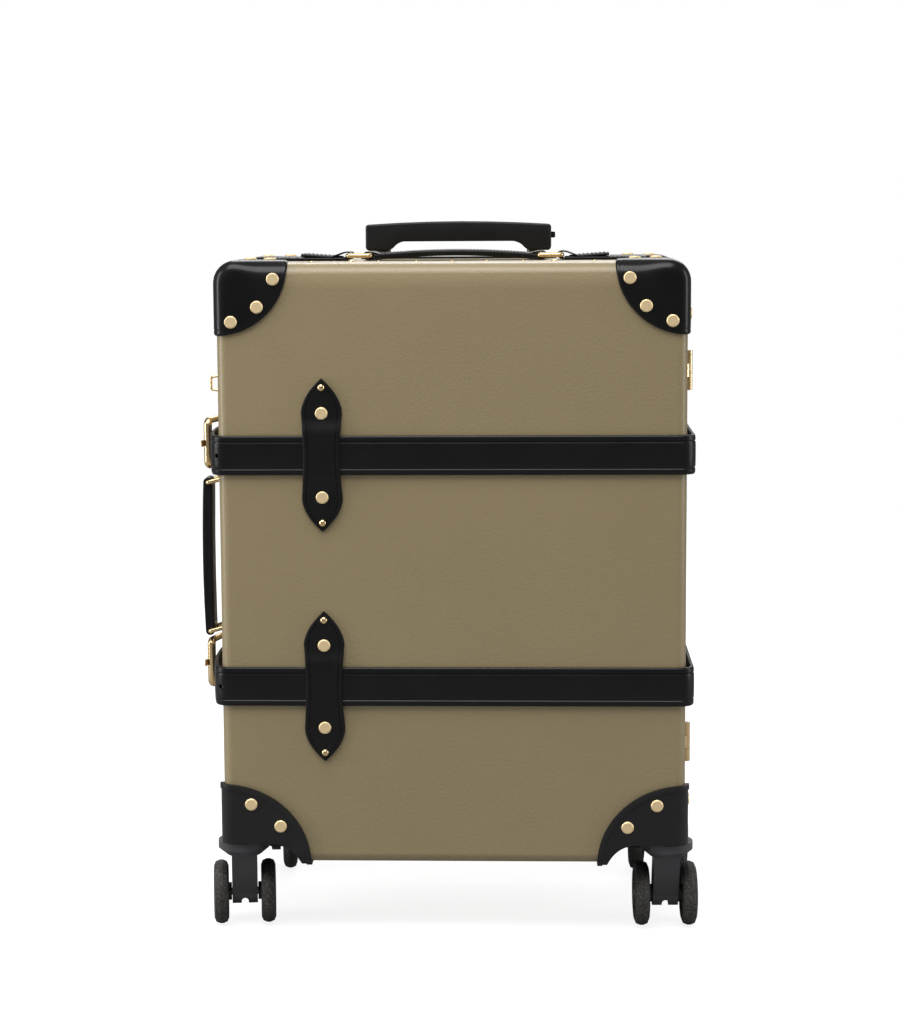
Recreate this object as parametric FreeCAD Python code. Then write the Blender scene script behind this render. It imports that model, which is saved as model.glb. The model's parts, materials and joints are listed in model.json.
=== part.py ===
import FreeCAD, Part
import math
import os

# A trunk-style carry-on case on four twin-wheel casters.
# Millimetres. X runs to the right, Y runs back from the front face, Z runs up from the floor.
# The origin is on the floor under the middle of the body.

V = FreeCAD.Vector
ALONG_X = V(1, 0, 0)
ALONG_Y = V(0, 1, 0)
ALONG_Z = V(0, 0, 1)

# Body of fibre board, split into a front lid and a deeper base
body_width = 356.0
body_depth = 200.0
body_height = 462.0
floor_clearance = 58.0
board = 3.0
side_radius = 15.0
edge_radius = 8.0
lid_depth = 75.0
split_gap = 0.5

# Clearances shared by every piece
seat_gap = 0.1
move_gap = 0.4
pin_gap = 0.05
cut_over = 3.0

# Rims at the split, linings and the board that hides the trolley tubes
rim_thickness = 2.5
lid_rim_width = 7.5
base_rim_width = 14.0
rim_lip = 4.0
lining = 1.0
back_board = 3.0

# Leather corners and rivets
corner_leather = 2.3
corner_flap = 57.0
corner_rivet_ring = 45.5
face_rivet_angles = [15.0, 46.0, 75.0]
flap_rivet_angles = [30.0, 60.0]
rivet_radius = 4.75
rivet_edge = 0.6
rivet_bevel = 0.8
small_rivet_radius = 2.5

# Wheel housings and their recesses
housing_skin = 2.6
housing_lip = 0.8
housing_lip_width = 4.0
housing_reach = 67.5
housing_rise = 62.0
housing_rivet_places = [(21.8, 46.6), (44.3, 29.4)]
recess_height = 15.0
recess_margin = 5.0
recess_run_x = 22.0
recess_run_y = 14.0
pillar_radius = 8.0
pillar_height = 22.0

# Casters
caster_inset_x = 13.0
caster_inset_y = 20.0
caster_trail = 17.0
swivel_front_left = 7.0
swivel_front_right = 2.0
swivel_rear_left = 4.0
swivel_rear_right = -7.0
cap_radius = 20.0
cap_band = 6.0
cap_taper = 5.5
cap_neck = 13.5
washer_radius = 9.0
washer_thickness = 0.8
kingpin_radius = 4.0
kingpin_nut_radius = 7.0
kingpin_nut = 3.0
kingpin_depth = 8.0
fork_width = 20.0
fork_notch = 5.4
fork_notch_depth = 6.0
fork_hub_radius = 9.6
wheel_radius = 25.0
wheel_width = 11.5
wheel_gap = 2.8
wheel_round = 4.5
wheel_dish = 1.6
wheel_collar = 7.0
wheel_rim = 5.0
hub_radius = 9.0
axle_radius = 3.0

# Straps, their loops and buckles
strap_width = 30.0
strap_thickness = 3.2
upper_strap_z = 375.0
lower_strap_z = 197.0
strap_end_gap = 4.0
tongue_standoff = 10.5
tongue_length = 51.0
tongue_point = 12.0
punch_radius = 1.6
punch_pitch = 21.3
punch_count = 4
loop_x = -98.5
loop_length = 116.4
loop_waist = 27.3
loop_shoulder = 31.0
loop_shoulder_z = 32.0
loop_arch = 10.5
loop_draw = 0.3
loop_leather = 2.2
loop_ramp = 9.0
loop_tip_rivet_z = 51.5
buckle_wire = 2.0
buckle_side_gap = 0.6
heel_standoff = 12.0
heel_back = 63.0
end_standoff = 21.0
end_back = 25.0
prong_thickness = 2.4
prong_width = 5.0
prong_tip = 1.4
prong_knuckle = 3.6
prong_overhang = 3.0

# Hinges on the right wall
hinge_standoff = 5.0
hinge_height = 31.0
hinge_spread = 148.0
hinge_leaf = 1.6
hinge_leaf_width = 17.0
knuckle_radius = 2.8
hinge_pin_radius = 1.3
knuckle_middle = 10.4

# Combination lock on the left wall
lock_drop = 140.0
lock_height = 31.0
lock_width = 28.0
lock_thickness = 7.5
lock_round = 1.5
dial_radius = 4.0
dial_thickness = 4.2
dial_pitch = 6.0
dial_count = 3
dial_axle_radius = 1.0
dial_notches = 10
dial_notch_radius = 0.35
dial_wall_gap = 0.6
lock_margin = 2.5
lock_wall = 3.0
slider_travel = 3.0
slider_height = 4.2
slider_stem = 5.0
slider_foot = 8.0
slider_foot_thickness = 2.0
slider_show = 1.5
hasp_thickness = 2.4
hasp_width = 20.0
hasp_length = 22.0
hasp_tongue = 6.0

# Tag loop on the left wall
tag_rise = 137.0
tag_back = 25.0
tag_base = 13.6
tag_end = 10.0
tag_depth = 14.0
tag_wire = 0.9
tag_bend_room = 0.9
tag_knuckle = 2.1
tag_plate = 1.5
tag_plate_height = 30.0
tag_plate_width = 14.0

# Top carry handle
ring_wire = 1.8
ring_bend_room = 0.4
ring_reach = 18.0
ring_lift_angle = 30.0
ring_rise = 4.0
eye_wall = 1.8
top_handle_half_span = 66.0
top_handle_width = 34.0
top_handle_thickness = 4.7
top_handle_bow = 8.4
top_tab_length = 66.0
top_tab_thickness = 2.6
top_tab_wedge = 33.0

# Side carry handle
side_handle_back = 30.0
side_handle_width = 20.0
side_handle_thickness = 8.0
side_handle_bow = 1.0
side_ring_slope = 15.0
side_ring_standoff = 4.0
side_tab_length = 30.0
side_tab_thickness = 2.2
handle_buckle_gap = 3.2

# Trolley
trolley_half_span = 62.5
trolley_inset = 22.0
inner_tube_width = 13.0
inner_tube_depth = 11.0
tube_wall = 1.0
tube_slip = 0.2
tube_corner = 2.5
bezel_half_width = 80.0
bezel_depth = 26.0
bezel_thickness = 1.5
bezel_corner = 6.0
middle_tube_show = 1.4
foot_height = 15.0
foot_wall = 3.4
foot_socket = 6.0
foot_half_width = 80.0
stage_lift = 4.0
grip_half_width = 76.0
grip_bottom_rise = 6.5
grip_shoulder = 21.3
grip_crown = 2.6
grip_bar_rise = 7.5
grip_slot_half = 50.0
grip_slot_flare = 5.8
grip_depth = 22.0
grip_round = 3.0
grip_socket = 8.5
button_length = 4.9
button_width = 8.0
button_show = 3.3
button_round = 1.1
button_travel = 3.0
button_hidden = 5.0
button_rise = 12.5

# Places worked out from the sizes above
half_width = body_width / 2
half_depth = body_depth / 2
body_bottom = floor_clearance
body_top = body_bottom + body_height
front_y = -half_depth
back_y = half_depth
split_y = front_y + lid_depth
tag_y = split_y + tag_back
side_handle_y = split_y + side_handle_back
hinge_x = half_width + hinge_standoff
side_mid_z = (upper_strap_z + lower_strap_z) / 2
hinge_heights = [side_mid_z + hinge_spread, side_mid_z - hinge_spread]
strap_heights = [upper_strap_z, lower_strap_z]
recess_ceiling = body_bottom + recess_height
foot_z = body_bottom - housing_skin
trolley_y = back_y - trolley_inset
far = body_width + body_depth + body_height

corner_names = ["front_left", "front_right", "rear_left", "rear_right"]
corner_signs = {"front_left": (-1, -1), "front_right": (1, -1), "rear_left": (-1, 1), "rear_right": (1, 1)}
swivels = {
    "front_left": swivel_front_left,
    "front_right": swivel_front_right,
    "rear_left": swivel_rear_left,
    "rear_right": swivel_rear_right,
}
lid_corners = corner_names[:2]
base_corners = corner_names[2:]


def box(low, high):
    """A box between two corners."""
    return Part.makeBox(high[0] - low[0], high[1] - low[1], high[2] - low[2], V(*low))


def rod(radius, start, end):
    """A round bar from one point to another."""
    span = end - start
    return Part.makeCylinder(radius, span.Length, start, span)


def outline(steps):
    """Edges from point to point, where a pair (middle, end) is an arc through its middle."""
    edges = []
    here = steps[0]
    for step in steps[1:]:
        if isinstance(step, tuple):
            there = step[1]
            edges.append(Part.Arc(here, step[0], there).toShape())
        else:
            there = step
            edges.append(Part.makeLine(here, there))
        here = there
    return edges


def backwards(steps):
    """The same outline walked from its end to its start."""
    ends = [step[1] if isinstance(step, tuple) else step for step in steps]
    back = [ends[-1]]
    for index in range(len(steps) - 1, 0, -1):
        if isinstance(steps[index], tuple):
            back.append((steps[index][0], ends[index - 1]))
        else:
            back.append(ends[index - 1])
    return back


def plate(steps, thickness):
    """A closed outline pushed along a direction."""
    return Part.Face(Part.Wire(outline(steps + [steps[0]]))).extrude(thickness)


def wire_loop(corners, bend, wire):
    """A closed loop of round wire through its corners, each corner bent to a radius."""
    count = len(corners)
    steps = []
    for index in range(count):
        corner = corners[index]
        to_last = (corners[index - 1] - corner).normalize()
        to_next = (corners[(index + 1) % count] - corner).normalize()
        half_angle = to_last.getAngle(to_next) / 2
        inward = (to_last + to_next).normalize()
        setback = bend / math.tan(half_angle)
        middle = corner + inward * (bend / math.sin(half_angle) - bend)
        if steps:
            steps.append(corner + to_last * setback)
        else:
            steps = [corner + to_last * setback]
        steps.append((middle, corner + to_next * setback))
    path = Part.Wire(outline(steps + [steps[0]]))
    first = steps[0]
    heading = (corners[0] - corners[-1]).normalize()
    section = Part.Wire(Part.makeCircle(wire, first, heading))
    loop = path.makePipeShell([section], True, False)
    return loop if loop.ShapeType == "Solid" else Part.Solid(loop)


def turn(shape, centre, axis, degrees):
    """A copy turned about an axis."""
    copy = shape.copy()
    copy.rotate(centre, axis, degrees)
    return copy


def rounded_bar(width, depth, corner, low, high):
    """An upright bar with a rounded rectangular section, centred on the Z axis."""
    bar = box((-width / 2, -depth / 2, low), (width / 2, depth / 2, high))
    upright = [edge for edge in bar.Edges if edge.BoundBox.ZLength > (high - low) / 2]
    return bar.makeFillet(corner, upright)


def fuse_all(shapes):
    """One solid from pieces that run into each other."""
    whole = shapes[0].multiFuse(shapes[1:]) if len(shapes) > 1 else shapes[0]
    return whole.removeSplitter()


block_cache = {}


def body_block(grow):
    """The rounded outer form of the body, grown evenly outward."""
    if grow not in block_cache:
        low = V(-half_width - grow, front_y - grow, body_bottom - grow)
        high = V(half_width + grow, back_y + grow, body_top + grow)
        block = box(tuple(low), tuple(high))
        long_edges = [edge for edge in block.Edges if edge.BoundBox.YLength > body_depth / 2]
        block = block.makeFillet(side_radius + grow, long_edges)
        ends = [edge for edge in block.Edges if edge.BoundBox.YLength < seat_gap]
        block_cache[grow] = block.makeFillet(edge_radius + grow, ends)
    return block_cache[grow]


def layer(inner, outer):
    """A skin that follows the body between two offsets."""
    return body_block(outer).cut(body_block(inner))


def slab(low_y, high_y):
    """Everything between two planes across the depth."""
    return box((-far, low_y, -far), (far, high_y, far))


def recess_steps(flat, run, grow):
    """Side view of a wheel recess as (distance in from the face, height), with its arch."""
    drop = recess_ceiling - foot_z
    arch = (run ** 2 + drop ** 2) / (2 * drop)
    centre = (flat, recess_ceiling - arch)
    end_angle = math.atan2(arch - drop, run)
    middle_angle = (end_angle + math.pi / 2) / 2
    reach = arch + grow
    middle = (centre[0] + reach * math.cos(middle_angle), centre[1] + reach * math.sin(middle_angle))
    end = (centre[0] + reach * math.cos(end_angle), centre[1] + reach * math.sin(end_angle))
    low = floor_clearance / 2
    outside = -floor_clearance / 2
    ceiling = recess_ceiling + grow
    return [(outside, low), (outside, ceiling), (flat, ceiling), middle, end, (end[0], low)]


def recess(name, grow):
    """The open corner over a caster: two arched cuts that cross."""
    sign_x, sign_y = corner_signs[name]
    flat_x = caster_inset_x + cap_radius + recess_margin
    flat_y = caster_inset_y + cap_radius + recess_margin
    steps_x = [V(sign_x * (half_width - u), 0, z) for u, z in recess_steps(flat_x, recess_run_x, grow)]
    steps_y = [V(0, sign_y * (half_depth - u), z) for u, z in recess_steps(flat_y, recess_run_y, grow)]
    cut_x = plate(steps_x[:3] + [(steps_x[3], steps_x[4]), steps_x[5]], ALONG_Y * sign_y * body_depth)
    cut_y = plate(steps_y[:3] + [(steps_y[3], steps_y[4]), steps_y[5]], ALONG_X * sign_x * body_width)
    return cut_x.common(cut_y)


def ellipse_face(centre, across, up, reach, rise):
    """A flat ellipse with a half-width along across and a half-height along up."""
    side = centre + across * reach
    top = centre + up * rise
    curve = Part.Ellipse(side, top, centre) if reach >= rise else Part.Ellipse(top, side, centre)
    return Part.Face(Part.Wire(curve.toShape()))


def housing_zone(name, inset):
    """The corner that a housing covers, an ellipse seen from the front and from the side."""
    sign_x, sign_y = corner_signs[name]
    reach = housing_reach - inset
    rise = housing_rise - inset
    front = ellipse_face(V(sign_x * half_width, 0, body_bottom), ALONG_X, ALONG_Z, reach, rise)
    side = ellipse_face(V(0, sign_y * half_depth, body_bottom), ALONG_Y, ALONG_Z, reach, rise)
    return front.extrude(ALONG_Y * sign_y * body_depth).common(side.extrude(ALONG_X * sign_x * body_width))


def caster_axis(name):
    """Where a caster's swivel axis meets the floor."""
    sign_x, sign_y = corner_signs[name]
    return V(sign_x * (half_width - caster_inset_x), sign_y * (half_depth - caster_inset_y), 0)


def wheel_housing(name):
    """A moulded corner shell with a raised lip, an arched recess and a pillar for the kingpin."""
    zone = housing_zone(name, 0)
    skin = zone.common(layer(seat_gap, housing_skin))
    lip = zone.cut(housing_zone(name, housing_lip_width)).common(layer(seat_gap, housing_skin + housing_lip))
    cup = recess(name, housing_skin).common(body_block(housing_skin))
    axis = caster_axis(name)
    pillar_top = recess_ceiling + pillar_height
    pillar = rod(pillar_radius, axis + ALONG_Z * recess_ceiling, axis + ALONG_Z * pillar_top)
    housing = fuse_all([skin, lip, cup, pillar]).cut(recess(name, 0))
    bore_top = pillar_top + cut_over
    bore = rod(kingpin_radius + pin_gap, axis + ALONG_Z * body_bottom, axis + ALONG_Z * bore_top)
    return housing.cut(bore)


cap_top = recess_ceiling - washer_thickness - 2 * seat_gap
cap_edge = cap_top - cap_band


def kingpin():
    """A pin pressed into the fork, with a thrust washer under the housing and a nut on the pillar."""
    nut_low = recess_ceiling + pillar_height + seat_gap
    pin_low = cap_top - kingpin_depth
    shaft = Part.makeCylinder(kingpin_radius, nut_low - pin_low, V(0, 0, pin_low))
    washer = Part.makeCylinder(washer_radius, washer_thickness, V(0, 0, cap_top + seat_gap))
    nut = Part.makeCylinder(kingpin_nut_radius, kingpin_nut, V(0, 0, nut_low))
    return fuse_all([shaft, washer, nut])


def caster_fork():
    """A swivelling fork on the Z axis that trails along +Y, notched between its two feet."""
    band = Part.makeCylinder(cap_radius, cap_band, V(0, 0, cap_edge))
    taper = Part.makeCone(cap_radius, cap_neck, cap_taper, V(0, 0, cap_edge), -ALONG_Z)
    side = -fork_width / 2
    lean = cap_radius / 2
    leg_steps = [
        V(side, -lean, cap_edge),
        V(side, cap_neck, cap_edge),
        V(side, caster_trail + fork_hub_radius, wheel_radius),
        V(side, caster_trail - fork_hub_radius, wheel_radius),
    ]
    legs = plate(leg_steps, ALONG_X * fork_width)
    hub = V(side, caster_trail, wheel_radius)
    boss = Part.makeCylinder(fork_hub_radius, fork_width, hub, ALONG_X)
    fork = fuse_all([band, taper, legs, boss])
    notch_top = wheel_radius - fork_hub_radius + fork_notch_depth
    notch_half = fork_notch / 2
    notch = box((-notch_half, -far, 0), (notch_half, far, notch_top - notch_half))
    notch = notch.fuse(rod(notch_half, V(0, -far, notch_top - notch_half), V(0, far, notch_top - notch_half)))
    pin_low = cap_top - kingpin_depth - seat_gap
    pin_hole = Part.makeCylinder(kingpin_radius + pin_gap, far, V(0, 0, pin_low))
    axle_hole = Part.makeCylinder(axle_radius + pin_gap, fork_width, hub, ALONG_X)
    return fork.cut(notch).cut(pin_hole).cut(axle_hole)


def wheel(side):
    """One wheel about the X axis: round-shouldered tread, dished sides and a collar towards the fork."""
    half = wheel_width / 2
    web = wheel_radius - wheel_rim
    bore = axle_radius + pin_gap
    shoulder = wheel_radius - wheel_round
    slant = wheel_round * math.sqrt(0.5)
    collar = half + wheel_gap - move_gap
    profile = [
        (-collar, bore),
        (-collar, wheel_collar),
        (-half + wheel_dish, wheel_collar),
        (-half + wheel_dish, web - wheel_dish),
        (-half, web),
        (-half, shoulder),
        (-half + wheel_round - slant, shoulder + slant),
        (-half + wheel_round, wheel_radius),
        (half - wheel_round, wheel_radius),
        (half - wheel_round + slant, shoulder + slant),
        (half, shoulder),
        (half, web),
        (half - wheel_dish, web - wheel_dish),
        (half - wheel_dish, hub_radius + wheel_dish),
        (half, hub_radius),
        (half, bore),
    ]
    steps = [V(side * along, out, 0) for along, out in profile]
    solid = Part.Face(Part.Wire(outline(steps + [steps[0]]))).revolve(V(0, 0, 0), ALONG_X, 360)
    return solid if solid.Volume > 0 else solid.reversed()


def set_caster(shape, name):
    """Turn a piece made on the Z axis to its caster's rest angle and put it at its corner."""
    placed = turn(shape, V(0, 0, 0), ALONG_Z, swivels[name])
    placed.translate(caster_axis(name))
    return placed


def caster_pieces(name):
    """The fork, the axle and the pair of wheels of one caster."""
    middle = fork_width / 2 + wheel_gap + wheel_width / 2
    end = middle + wheel_width / 2
    hub = V(0, caster_trail, wheel_radius)
    axle = rod(axle_radius, hub - ALONG_X * end, hub + ALONG_X * end)
    wheels = []
    for side in (-1, 1):
        one = wheel(side)
        one.translate(hub + ALONG_X * side * middle)
        wheels.append(set_caster(one, name))
    fork = Part.makeCompound([set_caster(caster_fork(), name), set_caster(kingpin(), name)])
    return fork, set_caster(axle, name), Part.makeCompound(wheels)


def rivet(radius, seat, outward):
    """A flat rivet head with a bevelled edge, seated on a face."""
    shoulder = seat + outward * rivet_edge
    bevel = Part.makeCone(radius, radius - rivet_bevel, rivet_bevel, shoulder, outward)
    return fuse_all([rod(radius, seat, shoulder), bevel])


def corner_leather_piece(name):
    """A leather corner: the part of a thin skin that lies near the body's top corner."""
    sign_x, sign_y = corner_signs[name]
    ball = Part.makeSphere(corner_flap, V(sign_x * half_width, sign_y * half_depth, body_top))
    return layer(seat_gap, corner_leather).common(ball)


def corner_rivets(name):
    """Three rivets on the front or back flap, two on the top flap and two on the side flap."""
    sign_x, sign_y = corner_signs[name]
    lift = corner_leather + seat_gap
    heads = []
    for degrees in face_rivet_angles:
        inward = corner_rivet_ring * math.cos(math.radians(degrees))
        down = corner_rivet_ring * math.sin(math.radians(degrees))
        seat = V(sign_x * (half_width - inward), sign_y * (half_depth + lift), body_top - down)
        heads.append(rivet(rivet_radius, seat, ALONG_Y * sign_y))
    for degrees in flap_rivet_angles:
        near = corner_rivet_ring * math.cos(math.radians(degrees))
        away = corner_rivet_ring * math.sin(math.radians(degrees))
        top_seat = V(sign_x * (half_width - near), sign_y * (half_depth - away), body_top + lift)
        side_seat = V(sign_x * (half_width + lift), sign_y * (half_depth - near), body_top - away)
        heads.append(rivet(rivet_radius, top_seat, ALONG_Z))
        heads.append(rivet(rivet_radius, side_seat, ALONG_X * sign_x))
    return heads


def housing_rivets(name):
    """Two rivets on the front or back of a wheel housing and two on its side."""
    sign_x, sign_y = corner_signs[name]
    lift = housing_skin + seat_gap
    heads = []
    for inward, rise in housing_rivet_places:
        up = body_bottom + rise
        face_seat = V(sign_x * (half_width - inward), sign_y * (half_depth + lift), up)
        side_seat = V(sign_x * (half_width + lift), sign_y * (half_depth - inward), up)
        heads.append(rivet(rivet_radius, face_seat, ALONG_Y * sign_y))
        heads.append(rivet(rivet_radius, side_seat, ALONG_X * sign_x))
    return heads


def loop_side_steps(sign_y):
    """Side view of a strap loop: flat on the face at both ends, humped over the strap."""
    face = half_depth + seat_gap
    strap_room = strap_width / 2 + move_gap
    under = face + strap_thickness + seat_gap
    over = under + loop_leather
    flat = face + loop_leather
    half = loop_length / 2
    heights = [
        (face, half),
        (flat, half),
        (flat, strap_room + loop_leather + loop_ramp),
        (over, strap_room + loop_leather / 2),
        (over, -strap_room - loop_leather / 2),
        (flat, -strap_room - loop_leather - loop_ramp),
        (flat, -half),
        (face, -half),
        (face, -strap_room),
        (under, -strap_room),
        (under, strap_room),
        (face, strap_room),
    ]
    return [V(0, sign_y * depth, z) for depth, z in heights]


def loop_front_steps():
    """Front view of a strap loop: a waisted band with a pointed arch at each end."""
    half = loop_length / 2
    waist = loop_waist / 2
    wide = loop_shoulder / 2
    bow = (half + loop_shoulder_z) / 2
    bulge = loop_arch
    drawn = (waist + wide) / 2 - loop_draw
    mid = loop_shoulder_z / 2
    return [
        V(0, 0, half),
        (V(bulge, 0, bow), V(wide, 0, loop_shoulder_z)),
        (V(drawn, 0, mid), V(waist, 0, 0)),
        (V(drawn, 0, -mid), V(wide, 0, -loop_shoulder_z)),
        (V(bulge, 0, -bow), V(0, 0, -half)),
        (V(-bulge, 0, -bow), V(-wide, 0, -loop_shoulder_z)),
        (V(-drawn, 0, -mid), V(-waist, 0, 0)),
        (V(-drawn, 0, mid), V(-wide, 0, loop_shoulder_z)),
        (V(-bulge, 0, bow), V(0, 0, half)),
    ]


def strap_loop(sign_y, z):
    """A leather loop riveted to the face over a strap."""
    side = plate(loop_side_steps(sign_y), ALONG_X * body_width)
    side.translate(V(-body_width / 2, 0, 0))
    front = Part.Face(Part.Wire(outline(loop_front_steps()))).extrude(ALONG_Y * sign_y * body_depth)
    loop = side.common(front)
    loop.translate(V(loop_x, 0, z))
    return loop


def loop_rivets(sign_y, z):
    """Two large and two small rivets that hold a strap loop."""
    depth = sign_y * (half_depth + seat_gap + loop_leather + seat_gap)
    heads = []
    for side in (-1, 1):
        large = V(loop_x, depth, z + side * loop_shoulder_z)
        small = V(loop_x, depth, z + side * loop_tip_rivet_z)
        heads.append(rivet(rivet_radius, large, ALONG_Y * sign_y))
        heads.append(rivet(small_rivet_radius, small, ALONG_Y * sign_y))
    return heads


strap_bend = edge_radius + seat_gap + strap_thickness / 2
strap_front_y = front_y - seat_gap - strap_thickness / 2
strap_back_y = back_y + seat_gap + strap_thickness / 2
hinge_point = V(hinge_x, split_y, 0)
tongue_radius = hinge_x + half_width + tongue_standoff
heel_point = V(-half_width - heel_standoff, split_y + heel_back, 0)
end_point = V(-half_width - end_standoff, split_y + end_back, 0)
eye_middle = buckle_wire + pin_gap + strap_thickness / 2


def lid_strap_route(out):
    """Plan of the lid's strap, pushed outward: hinge side, front, and a tongue curved about the hinge."""
    right = V(hinge_x - strap_bend, strap_front_y + strap_bend, 0)
    left_reach = tongue_radius - strap_bend
    left_y = strap_front_y + strap_bend
    left = V(hinge_x - math.sqrt(left_reach ** 2 - (left_y - split_y) ** 2), left_y, 0)
    to_left = (left - hinge_point).normalize()
    tip = math.asin(tongue_length / tongue_radius)
    to_tip = V(-math.cos(tip), math.sin(tip), 0)
    bend = strap_bend + out
    turn_right = V(1, -1, 0).normalize()
    turn_left = (V(0, -1, 0) + to_left).normalize()
    halfway = (to_left + to_tip).normalize()
    return [
        V(hinge_x + out, split_y - strap_end_gap, 0),
        V(hinge_x + out, right.y, 0),
        (right + turn_right * bend, V(right.x, strap_front_y - out, 0)),
        V(left.x, strap_front_y - out, 0),
        (left + turn_left * bend, left + to_left * bend),
        (hinge_point + halfway * (tongue_radius + out), hinge_point + to_tip * (tongue_radius + out)),
    ]


def base_strap_route(out):
    """Plan of the base's strap, pushed outward: hinge side, back, and a run to the buckle's heel bar."""
    right = V(hinge_x - strap_bend, strap_back_y - strap_bend, 0)
    left = V(-half_width + edge_radius, back_y - edge_radius, 0)
    span = heel_point - left
    swing = math.atan2(span.y, span.x) - math.acos((strap_bend + eye_middle) / span.Length)
    outward = V(math.cos(swing), math.sin(swing), 0)
    bend = strap_bend + out
    turn_right = V(1, 1, 0).normalize()
    turn_left = (V(0, 1, 0) + outward).normalize()
    return [
        V(hinge_x + out, split_y + strap_end_gap, 0),
        V(hinge_x + out, right.y, 0),
        (right + turn_right * bend, V(right.x, strap_back_y + out, 0)),
        V(left.x, strap_back_y + out, 0),
        (left + turn_left * bend, left + outward * bend),
        heel_point - outward * (eye_middle - out),
    ]


def ribbon(route, z):
    """A strap that follows a route, on edge, centred on a height."""
    half = strap_thickness / 2
    steps = route(half) + backwards(route(-half))
    strap = plate(steps, ALONG_Z * strap_width)
    strap.translate(ALONG_Z * (z - strap_width / 2))
    return strap


def lid_strap(z):
    """The front strap with a pointed, punched tongue."""
    strap = ribbon(lid_strap_route, z)
    tip_y = split_y + tongue_length
    past = tip_y + cut_over
    start = tip_y - tongue_point
    half = strap_width / 2
    for side in (-1, 1):
        wide = z + side * strap_width
        tip = [V(0, past, z), V(0, past, wide), V(0, start, wide), V(0, start, z + side * half)]
        strap = strap.cut(plate(tip, V(-body_width, 0, 0)))
    for index in range(punch_count):
        hole_y = tip_y - tongue_point - index * punch_pitch
        strap = strap.cut(rod(punch_radius, V(-half_width, hole_y, z), V(-body_width, hole_y, z)))
    return strap


def base_strap(z):
    """The back strap, whose end wraps the buckle's heel bar and is slotted for the prong."""
    strap = ribbon(base_strap_route, z)
    low = heel_point + ALONG_Z * (z - strap_width / 2)
    high = heel_point + ALONG_Z * (z + strap_width / 2)
    eye = rod(eye_middle + strap_thickness / 2, low, high)
    slot_half = prong_width / 2 + move_gap
    middle = heel_point + ALONG_Z * z
    slot_radius = eye_middle + strap_thickness / 2 + move_gap
    slot = rod(slot_radius, middle - ALONG_Z * slot_half, middle + ALONG_Z * slot_half)
    return fuse_all([strap, eye]).cut(rod(buckle_wire + pin_gap, low, high)).cut(slot)


buckle_half = strap_width / 2 + buckle_side_gap + buckle_wire


def buckle_frame(z):
    """A rectangular wire frame that hangs on its heel bar."""
    corners = [
        heel_point + ALONG_Z * (z - buckle_half),
        end_point + ALONG_Z * (z - buckle_half),
        end_point + ALONG_Z * (z + buckle_half),
        heel_point + ALONG_Z * (z + buckle_half),
    ]
    return wire_loop(corners, buckle_side_gap + buckle_wire, buckle_wire)


def buckle_prong(z):
    """A prong that turns on the heel bar and lies across the end bar."""
    run = (end_point - heel_point).normalize()
    outward = V(run.y, -run.x, 0)
    over = end_point + outward * (buckle_wire + move_gap + prong_thickness / 2)
    tip = over + run * (buckle_wire + prong_overhang)
    along = (tip - heel_point).normalize()
    across = V(along.y, -along.x, 0)
    low = ALONG_Z * (z - prong_width / 2)
    half = prong_thickness / 2
    end = prong_tip / 2
    root = heel_point + along * buckle_wire
    steps = [
        root - across * half + low,
        tip - across * end + low,
        (tip + along * end + low, tip + across * end + low),
        root + across * half + low,
    ]
    bar = plate(steps, ALONG_Z * prong_width)
    knuckle = rod(prong_knuckle, heel_point + low, heel_point + low + ALONG_Z * prong_width)
    hole = rod(buckle_wire + pin_gap, heel_point + low, heel_point + low + ALONG_Z * prong_width)
    return fuse_all([bar, knuckle]).cut(hole)


def on_hinge(radius, low, high):
    """A round bar on the hinge axis between two heights."""
    return rod(radius, hinge_point + ALONG_Z * low, hinge_point + ALONG_Z * high)


def hinge_leaf_piece(z, side, sections):
    """A hinge leaf on one side of the split, with its share of the knuckle."""
    wall = half_width + seat_gap
    edge = split_y + side * split_gap / 2
    far_edge = edge + side * hinge_leaf_width
    half = hinge_height / 2
    leaf = box((wall, min(edge, far_edge), z - half), (wall + hinge_leaf, max(edge, far_edge), z + half))
    shoulder = edge + side * 2 * knuckle_radius
    pieces = []
    for low, high in sections:
        web_steps = [
            V(wall, edge, z + low),
            V(hinge_x, edge, z + low),
            V(hinge_x, split_y + side * knuckle_radius, z + low),
            V(wall + hinge_leaf, shoulder, z + low),
            V(wall, shoulder, z + low),
        ]
        pieces.append(plate(web_steps, ALONG_Z * (high - low)))
        pieces.append(on_hinge(knuckle_radius, z + low, z + high))
    return fuse_all([leaf] + pieces).cut(on_hinge(hinge_pin_radius + pin_gap, z - half, z + half))


def hinge_pieces(z):
    """A lid leaf with the middle knuckle, a base leaf with the outer two, and the pin."""
    half = hinge_height / 2
    inner = knuckle_middle / 2
    lid_leaf = hinge_leaf_piece(z, -1, [(-inner + move_gap / 2, inner - move_gap / 2)])
    base_leaf = hinge_leaf_piece(z, 1, [(-half, -inner - move_gap / 2), (inner + move_gap / 2, half)])
    room = knuckle_radius + move_gap
    base_leaf = base_leaf.cut(on_hinge(room, z - inner, z + inner))
    for low, high in ((-half, -inner), (inner, half)):
        lid_leaf = lid_leaf.cut(on_hinge(room, z + low, z + high))
    return lid_leaf, base_leaf, on_hinge(hinge_pin_radius, z - half, z + half)


lock_z = side_mid_z - lock_drop
lock_back = -half_width - seat_gap
lock_front = lock_back - lock_thickness
lock_low_y = split_y + split_gap
lock_high_y = lock_low_y + lock_width
dial_x = -half_width - dial_wall_gap - dial_radius
dial_y = lock_low_y + hasp_tongue + move_gap + lock_wall + dial_radius
lock_top = lock_z + lock_height / 2
dial_heights = [lock_top - lock_margin - dial_pitch * (index + 0.5) for index in range(dial_count)]
slider_high = lock_top - lock_margin - dial_pitch * dial_count - lock_round
slider_low = slider_high - slider_height - slider_travel - 2 * move_gap
dial_axle_high = V(dial_x, dial_y, lock_top - lock_margin / 2)
dial_axle_low = V(dial_x, dial_y, slider_high + lock_round / 2)


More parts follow.
